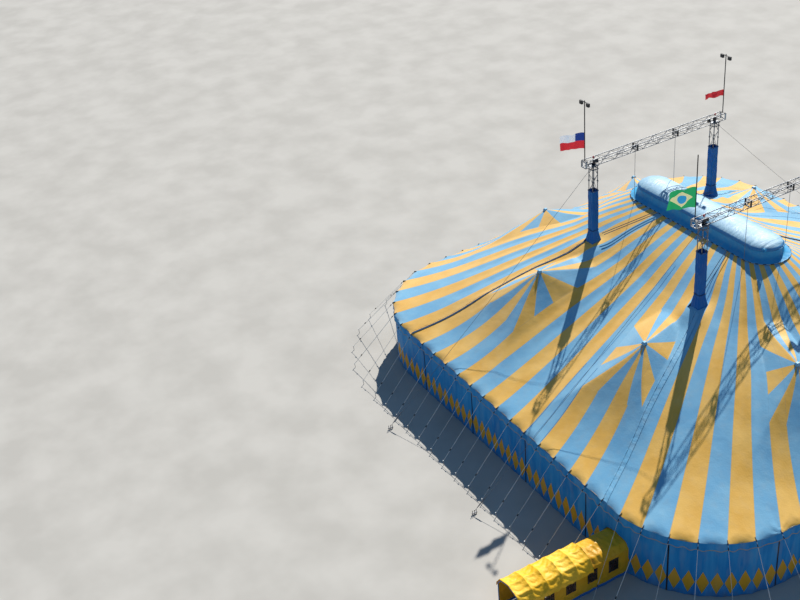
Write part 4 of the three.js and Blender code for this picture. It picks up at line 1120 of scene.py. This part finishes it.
def runStays():
    for k, (x, y) in enumerate(masts):
        side = math.copysign(1, y)
        start = np.array([x, y + side * stays["collarOut"], stays["collarZ"]])
        anchor = np.array([x + side * stays["lean"], side * stays["anchorY"], stays["anchorZ"]])
        share = np.linspace(0, 1, 33)[:, None]
        path = start + (anchor - start) * share
        path[:, 2] -= stays["sag"] * np.sin(math.pi * share[:, 0])
        parts = [tube(path, stays["cable"])]
        # the collar round the chords, the bottle screw, and the anchor plate with its pins
        for a in (-stays["collarOut"], stays["collarOut"]):
            parts.append(block((x + a, y, stays["collarZ"]), (0.03, 0.46, 0.05), 0.9))
            parts.append(block((x, y + a, stays["collarZ"]), (0.40, 0.03, 0.05), 0.9))
        shares, radii = zip(*stays["screw"])
        parts.append(tube(anchor + (start - anchor) * np.array(shares)[:, None], radii, 8))
        parts.append(block((anchor[0], anchor[1], 0.09), (0.07, 0.34, 0.05), 0.95))
        for b in stays["pins"]:
            base = np.array([anchor[0], anchor[1] + b, 0.0])
            parts.append(tube([base, base + (0, 0, stays["pinTop"])], stays["pin"], 8))
        addPiece("mastStay_%d" % (k + 1), *merged(parts), "wireRope", "steel_cable",
                 ["mast_stay_%d" % (k + 1)])
        inwards = -math.copysign(1, x)
        low = np.array([x + inwards * sleeveRope["in"], y - side * sleeveRope["out"], sleeveRope["low"]])
        high = np.array([x + inwards * sleeveRope["leftReach" if x < 0 else "rightReach"],
                         side * (plan["footHalf"] + 0.08), sleeveRope["high"]])
        for shift, name in sleeveRope["shifts"]:
            path = low + (high - low) * np.linspace(0, 1, 12)[:, None] + (shift, 0, 0)
            addPiece("sleeveRope_%s_%d" % (name, k + 1), *tube(path, sleeveRope["radius"]), "darkCord",
                     "guy_webbing")


runStays()
print("stays run")

# Mast sleeves, tied in above the flare, the hem's outer corner drawn out and lashed down
sleeve = {"half": 0.236, "top": 11.89, "neck": 9.18, "flare": 0.34, "flareAt": 8.62, "low": 8.40,
          "columns": 64, "corner": 8, "tieZ": 9.3, "tieIn": 0.012, "skin": 0.004, "cut": (2.8, 3.6),
          "bands": ((9.3, 0.018), (11.86, 0.014)), "bandOut": 0.012,  # heights and radii
          # lashed corner: distances inwards along x and outwards along y from the mast, height and radius
          "lash": ((0.22, 0.22, 8.8, 0.03), (0.31, 0.33, 8.52, 0.075), (0.36, 0.42, 8.42, 0.05),
                   (0.42, 0.52, 8.32, 0.012))}


def sleeveCloth(k, x, y):
    levels = np.concatenate([np.linspace(sleeve["top"], 9.42, 30), np.linspace(9.37, sleeve["neck"], 8),
                             np.linspace(9.1, sleeve["low"], 16)])
    turn = 2 * math.pi * np.arange(sleeve["columns"]) / sleeve["columns"]
    corner = sleeve["corner"]
    squared = (np.abs(np.cos(turn)) ** corner + np.abs(np.sin(turn)) ** corner) ** (-1 / corner)

    def ringOf(r, height):
        return np.stack([x + r * np.cos(turn), y + r * np.sin(turn), np.full(len(turn), height)], 1)
    rows = []
    for height in levels:
        half = np.interp(height, [sleeve["low"], sleeve["flareAt"], sleeve["neck"], sleeve["top"]],
                         [sleeve["flare"], sleeve["flare"], sleeve["half"], sleeve["half"]])
        tied = sleeve["tieIn"] * math.exp(-((height - sleeve["tieZ"]) / 0.05) ** 2)
        low = np.clip((9.2 - height) / 0.6, 0, 1)
        # long folds all the way down, and deeper flutes in the flare
        folds = (0.006 * np.sin(9 * turn + 3 * height + k) + 0.005 * np.sin(height * 11 + 2 * turn)
                 + low * 0.025 * np.abs(np.sin(6 * turn + k)))
        rows.append(ringOf((half - tied) * squared + folds - sleeve["skin"], height))
    points = np.array(rows)
    faces = gridFaces(len(rows), len(turn), closed=True)
    piece = addPiece("sleeveCloth_%d" % (k + 1), points, faces, "sleeve", "dark_blue_vinyl",
                     ["mast_sleeve_%d" % (k + 1)])
    layCloth(points, faces, sleeve["cut"])
    ties = []
    for height, radius in sleeve["bands"]:
        ring = ringOf(sleeve["half"] * squared + sleeve["bandOut"], height)
        ties.append(tube(np.concatenate([ring, ring[:1]]), radius))
    side = math.copysign(1, y)
    lash = [(x - a, y + side * b, height) for a, b, height, _ in sleeve["lash"]]
    ties.append(tube(lash, [radius for *_, radius in sleeve["lash"]], 8))
    addPiece("sleeveTie_%d" % (k + 1), *merged(ties), "darkCord", "dark_blue_vinyl")


for k, (x, y) in enumerate(masts):
    sleeveCloth(k, x, y)
print("sleeves made")

# Flags: name, mast, length, top, drop and pattern
flags = [("flag_1", 0, 1.70, 15.95, 1.25, "bands"), ("flag_2", 1, 1.90, 16.15, 1.50, "diamond"),
         ("flag_3", 2, 1.50, 15.50, 0.50, "plain"), ("flag_4", 3, 1.70, 16.00, 1.25, "diamond")]
flying = {"columns": 48, "rows": 30, "depth": 0.085, "poleY": 5.17, "poleRadius": 0.03, "hoist": 0.78,
          "stretch": 0.97, "narrowing": 0.06, "paintedSunGlow": 0.3}  # hoist is the share of the drop held at the pole
bunting = {"red": "#e8303a", "white": "#f4f5f6", "navy": "#23408f", "canton": 0.36,
           "green": "#22b46a", "cream": "#f5efb0", "diamond": 0.40, "blue": "#33a5dc", "disc": 0.045,
           "pennant": ("#b81f28", "#d8323a")}


def flagMaterial(name, kind):
    # woven polyester bunting: thin and matt, its thread drawn at 8 mm
    material, tree, principled = newMaterial(name, "#c8282e", 0.75)
    u, v = (addNode(tree, "Attribute", out="Fac", attribute_name=key) for key in ("flagAlong", "flagUp"))
    if kind == "bands":
        # a red band over a white one, with a navy canton at the pole
        upper = addNode(tree, "Math", v, 0.5, operation="GREATER_THAN")
        colour = addNode(tree, "MixRGB", upper, linear(bunting["red"]), linear(bunting["white"]))
        canton = addNode(tree, "Math", u, bunting["canton"], operation="LESS_THAN")
        canton = addNode(tree, "Math", canton, upper, operation="MULTIPLY")
        colour = addNode(tree, "MixRGB", canton, colour, linear(bunting["navy"]))
    elif kind == "diamond":
        # a cream diamond on green, with a blue disc in it
        du, dv = (addNode(tree, "Math", addNode(tree, "Math", way, 0.5, operation="SUBTRACT"),
                          operation="ABSOLUTE") for way in (u, v))
        reach = addNode(tree, "Math", du, dv, operation="ADD")
        diamond = addNode(tree, "Math", reach, bunting["diamond"], operation="LESS_THAN")
        wide = addNode(tree, "Math", du, 1.27, operation="MULTIPLY")  # the flag is wider than it is high
        wide, high = (addNode(tree, "Math", way, 2.0, operation="POWER") for way in (wide, dv))
        disc = addNode(tree, "Math", wide, high, operation="ADD")
        disc = addNode(tree, "Math", disc, bunting["disc"], operation="LESS_THAN")
        colour = addNode(tree, "MixRGB", diamond, linear(bunting["green"]), linear(bunting["cream"]))
        colour = addNode(tree, "MixRGB", disc, colour, linear(bunting["blue"]))
    else:
        colour = addNode(tree, "MixRGB", patches(tree, 300), *(linear(red) for red in bunting["pennant"]))
    tree.links.new(colour, principled.inputs["Base Color"])
    tree.links.new(colour, principled.inputs["Emission Color"])
    # painted light: the bunting glows in its own colours, as if the sun shone through it
    principled.inputs["Emission Strength"].default_value = flying["paintedSunGlow"]  # sun through the thin cloth
    relief(tree, principled, (patches(tree, 170), 8), (patches(tree, 8), 1))
    return material


def flyFlag(name, k, length, top, drop, kind):
    x, side = masts[k][0], math.copysign(1, masts[k][1])
    start = side * flying["poleY"] - flying["poleRadius"]
    u, v = np.meshgrid(np.linspace(0, 1, flying["columns"]), np.linspace(0, 1, flying["rows"]))
    wave = flying["depth"] * u ** 0.7 * (np.sin(2 * math.pi * (1.6 * u + 0.35 * v + 0.3 * k))
                                         + 0.45 * np.sin(2 * math.pi * (3.4 * u - 0.5 * v + 0.2 * k)))
    hoist = drop * flying["hoist"]
    lift = (drop - hoist) * u ** 0.8 * (1.25 - 0.25 * v) + 0.02 * np.sin(2 * math.pi * 1.6 * u)
    height = top - drop + hoist * v * (1 - flying["narrowing"] * u) + lift
    along = start - u * length * flying["stretch"]
    points = np.stack([x + wave, along, np.clip(height, top - drop, top)], 2)
    faces = gridFaces(*u.shape)
    piece = addPiece(name + "_cloth", points, faces, flagMaterial(name + "_bunting", kind), "flag_cloth",
                     [name], {"flagAlong": u, "flagUp": v})
    layCloth(points, faces)


for flag in flags:
    flyFlag(*flag)
print("flags flying")


# Entrance tunnel: walls with barred windows, an arched roof, the over-sheet and a blue binding
def evenSteps(stops, pitch):
    # places along a length, with every stop among them
    runs = [np.linspace(a, b, max(2, int((b - a) / pitch))) for a, b in zip(stops[:-1], stops[1:])]
    return np.unique(np.round(np.concatenate(runs), 4))


def tunnelWall(side):
    low, high, half = tunnel["windowLow"], tunnel["windowHigh"], tunnel["windowHalf"]
    windows = [tunnel["windowY"] - tunnel["pitch"] * i for i in range(tunnel["windows"])]
    edges = {round(y + a * half, 4) for y in windows for a in (-1, 1)}
    ys = evenSteps(sorted({tunnel["innerY"], tunnel["endY"]} | edges), 0.07)
    zs = np.unique(np.round(np.concatenate([np.linspace(0.015, low, 10), np.linspace(low, high, 9),
                                            np.linspace(high, tunnel["eave"], 5)]), 4))
    y, height = np.meshgrid(ys, zs)
    # folds near the ground, and a finer ripple all over
    fold = (0.014 * np.sin(y * 9 + 2 * np.sin(y * 3)) * np.clip(1.1 - height, 0, 1)
            + 0.006 * np.sin(y * 23 + height * 9))
    points = np.stack([tunnel["x"] + side * (tunnel["half"] - 0.018 + fold), y, height], 2)
    faces = gridFaces(*y.shape)
    middles = points.reshape(-1, 3)[faces].mean(1)
    hole = (middles[:, 2] > low) & (middles[:, 2] < high)
    hole &= np.abs(middles[:, 1][:, None] - np.array(windows)).min(1) < half
    faces = faces[~hole]
    name = "right" if side > 0 else "left"
    piece = addPiece("tunnelWallCloth_" + name, points, faces, "tunnel", "tunnel_vinyl",
                     ["tunnel_wall_" + name], {"tunnelHeight": height})
    layCloth(points, faces)
    # window frames of dark webbing, and steel bars behind them
    x = tunnel["x"] + side * (tunnel["half"] + 0.004)
    barX = x - side * 0.02
    frames, bars = [], []
    for middle in windows:
        for z in (low, high):
            frames.append(tube([(x, middle - half - 0.03, z), (x, middle + half + 0.03, z)], 0.022))
        for a in (-1, 1):
            frames.append(tube([(x, middle + a * half, low), (x, middle + a * half, high)], 0.022))
        for a in tunnel["bars"]:
            y = middle + a * half
            bars.append(tube([(barX, y, low - 0.03), (barX, y, high + 0.03)], 0.012, 8))
        cross = tunnel["crossBar"]
        bars.append(tube([(barX, middle - half, cross), (barX, middle + half, cross)], 0.012, 8))
    addPiece("windowFrames_" + name, *merged(frames), "gauze", "tunnel_vinyl")
    addPiece("windowBars_" + name, *merged(bars), "blackSteel", "pole_painted")


def archLine(grow=0.0, drop=0.0):
    # the tunnel's arch from eave to eave, grown outwards, and carried on down both sides by the drop
    half = tunnel["half"] + grow
    side = tunnel["shoulderAt"] / tunnel["half"] * half
    rightSide = [(side, tunnel["shoulder"] + grow), (half, tunnel["eave"])]
    if drop:
        rightSide.append((half + 0.01, tunnel["eave"] - drop))
    leftSide = [(-x, z) for x, z in rightSide[::-1]]
    return np.array([*leftSide, (0, tunnel["ridge"] + grow), *rightSide])


def tunnelArch(grow, drop, ys, rumple, across):
    # cloth over the arch, moved in or out of it by a rumple that goes by length along and across the tunnel
    profile = archLine(grow, drop)
    length = runLength(profile)
    s = np.linspace(0, length[-1], across)
    x, height = np.interp(s, length, profile[:, 0]), np.interp(s, length, profile[:, 1])
    # the cloth rounds the arch's corners
    for _ in range(3):
        x[1:-1], height[1:-1] = [(c[:-2] + 2 * c[1:-1] + c[2:]) / 4 for c in (x, height)]
    lift = rumple(ys[:, None], s[None, :])
    outwards = np.gradient(height) / np.hypot(np.gradient(x), np.gradient(height))
    upwards = np.gradient(x) / np.hypot(np.gradient(x), np.gradient(height))
    return np.stack([tunnel["x"] + x - lift * outwards, np.repeat(ys[:, None], across, 1),
                     height + lift * upwards], 2)


def creases(y, s, waves):
    # crumpled cloth: sharp folds in many directions
    total = 0
    for angle, length, phase in waves:
        way = (y * math.cos(angle) + s * math.sin(angle)) / length
        total = total + length * 0.045 * (0.6 - np.abs(np.sin(math.pi * way + phase)))
    return total


# The tunnel's roof cloth and over-sheet: how far they stand off the arch, sag and fold
cover = {"seed": 11, "roofGrow": -0.012, "roofSag": 0.03, "roofSpan": 2.4, "roofFolds": 2.4,
         "sheetGrow": 0.05, "sheetSag": 0.115, "sheetSpan": 2.9, "pleat": 0.03, "scallop": 0.06, "hemRows": 5,
         "binding": 0.026}


def tunnelCovers():
    random = np.random.default_rng(cover["seed"])

    def drawWaves(count, angles, lengths):
        return [(random.uniform(*angles), random.uniform(*lengths), random.uniform(0, 6))
                for _ in range(count)]

    def roofRumple(y, s):
        # slack between the hoops, with long folds
        bulge = np.sin(math.pi * s / cover["roofSpan"])
        sag = cover["roofSag"] * bulge * np.abs(np.sin(y * cover["roofFolds"]))
        return creases(y, s, roofWaves) * bulge - sag
    ys = np.linspace(tunnel["endY"], tunnel["innerY"], 110)
    roofWaves = drawWaves(5, (-0.5, 0.5), (0.25, 0.6))
    points = tunnelArch(cover["roofGrow"], 0, ys, roofRumple, 50)
    faces = gridFaces(*points.shape[:2])
    piece = addPiece("tunnelRoofCloth", points, faces, "tunnel", "tunnel_vinyl", ["tunnel_roof"],
                     {"tunnelHeight": points[..., 2]})
    layCloth(points, faces)

    def sheetRumple(y, s):
        # the over-sheet rides on the hoops and hangs between them in small lengthwise pleats
        hoops = np.abs(np.sin(math.pi * (y - tunnel["sheetFrom"]) / tunnel["hoopPitch"]))
        sag = cover["sheetSag"] * hoops ** 0.7 * np.sin(math.pi * np.clip(s / cover["sheetSpan"], 0, 1))
        pleats = np.abs(np.sin(9.5 * s + 1.7 * np.sin(2.3 * y) + 0.8 * np.sin(7 * y))) * hoops ** 0.5
        return cover["sheetGrow"] - sag + cover["pleat"] * pleats + creases(y, s, sheetWaves) * 0.3
    ys = np.linspace(tunnel["endY"] - 0.04, tunnel["sheetFrom"], 190)
    sheetWaves = drawWaves(11, (0, math.pi), (0.16, 0.5))
    points = tunnelArch(cover["sheetGrow"], tunnel["sheetDrop"], ys, sheetRumple, 110)
    # both hems are drawn up in scallops, two to a hoop
    scallop = np.abs(np.sin(2 * math.pi * (ys - tunnel["sheetFrom"]) / tunnel["hoopPitch"])) ** 0.7
    for row in range(cover["hemRows"]):
        for edge in (row, -1 - row):
            points[:, edge, 2] += cover["scallop"] * scallop * (1 - row / cover["hemRows"])
    faces = gridFaces(*points.shape[:2])
    piece = addPiece("oversheetCloth", points, faces, "oversheet", "oversheet_vinyl", ["tunnel_oversheet"])
    layCloth(points, faces)
    # blue binding round the open end
    half, end = tunnel["half"], tunnel["endY"] - 0.005
    path = [(tunnel["x"] + x, end, z) for x, z in [(-half, 0.02), *archLine(), (half, 0.02)]]
    parts = [tube(run, cover["binding"], 8) for run in zip(path[:-1], path[1:])]
    addPiece("tunnelBinding", *merged(parts), "binding", "tunnel_vinyl")


for side in (1, -1):
    tunnelWall(side)
tunnelCovers()
print("tunnel made")

# Finishes of the CAD pieces that stay
finishes = {"flagpole": "blackSteel", "cupola_frame": "aluminium", "quarter_pole": "steel",
            "side_poles": "blackSteel"}
for name, thing in nodes.items():
    for start, finish in finishes.items():
        if name.startswith(start):
            thing.data.materials.clear()
            thing.data.materials.append(materials[finish])
print("CAD finishes set")

# Floor and light: a sun from beyond the tent, as the shadows fall, and a soft blue sky
stage = {"floor": ("#a39f97", "#aeaaa2"), "size": 150, "sun": (-0.453, 0.58, 0.677),
         "sunColour": (1.0, 0.97, 0.92), "sunPower": 6.6, "sunAngle": 0.6, "sky": "#86b4ea", "skyPower": 0.42}


def setStage():
    material, tree, principled = newMaterial("paleFloor", stage["floor"][0], 0.9)
    soft = addNode(tree, "MixRGB", patches(tree, 3300), *(linear(colour) for colour in stage["floor"]))
    tree.links.new(soft, principled.inputs["Base Color"])
    mesh = bpy.data.meshes.new("floor")
    s = stage["size"]
    mesh.from_pydata([(-s, -s, 0), (s, -s, 0), (s, s, 0), (-s, s, 0)], [], [(0, 1, 2, 3)])
    mesh.materials.append(material)
    floor = bpy.data.objects.new("floor", mesh)
    bpy.context.scene.collection.objects.link(floor)
    light = bpy.data.lights.new("sun", "SUN")
    light.energy = stage["sunPower"]
    light.angle = math.radians(stage["sunAngle"])
    light.color = stage["sunColour"]
    sun = bpy.data.objects.new("sun", light)
    sun.rotation_euler = Vector(stage["sun"]).to_track_quat("Z", "Y").to_euler()
    bpy.context.scene.collection.objects.link(sun)
    world = bpy.data.worlds.new("sky")
    world.use_nodes = True
    background = world.node_tree.nodes["Background"]
    background.inputs["Color"].default_value = linear(stage["sky"])
    background.inputs["Strength"].default_value = stage["skyPower"]
    bpy.context.scene.world = world
    bpy.context.scene.view_settings.view_transform = "Standard"


setStage()
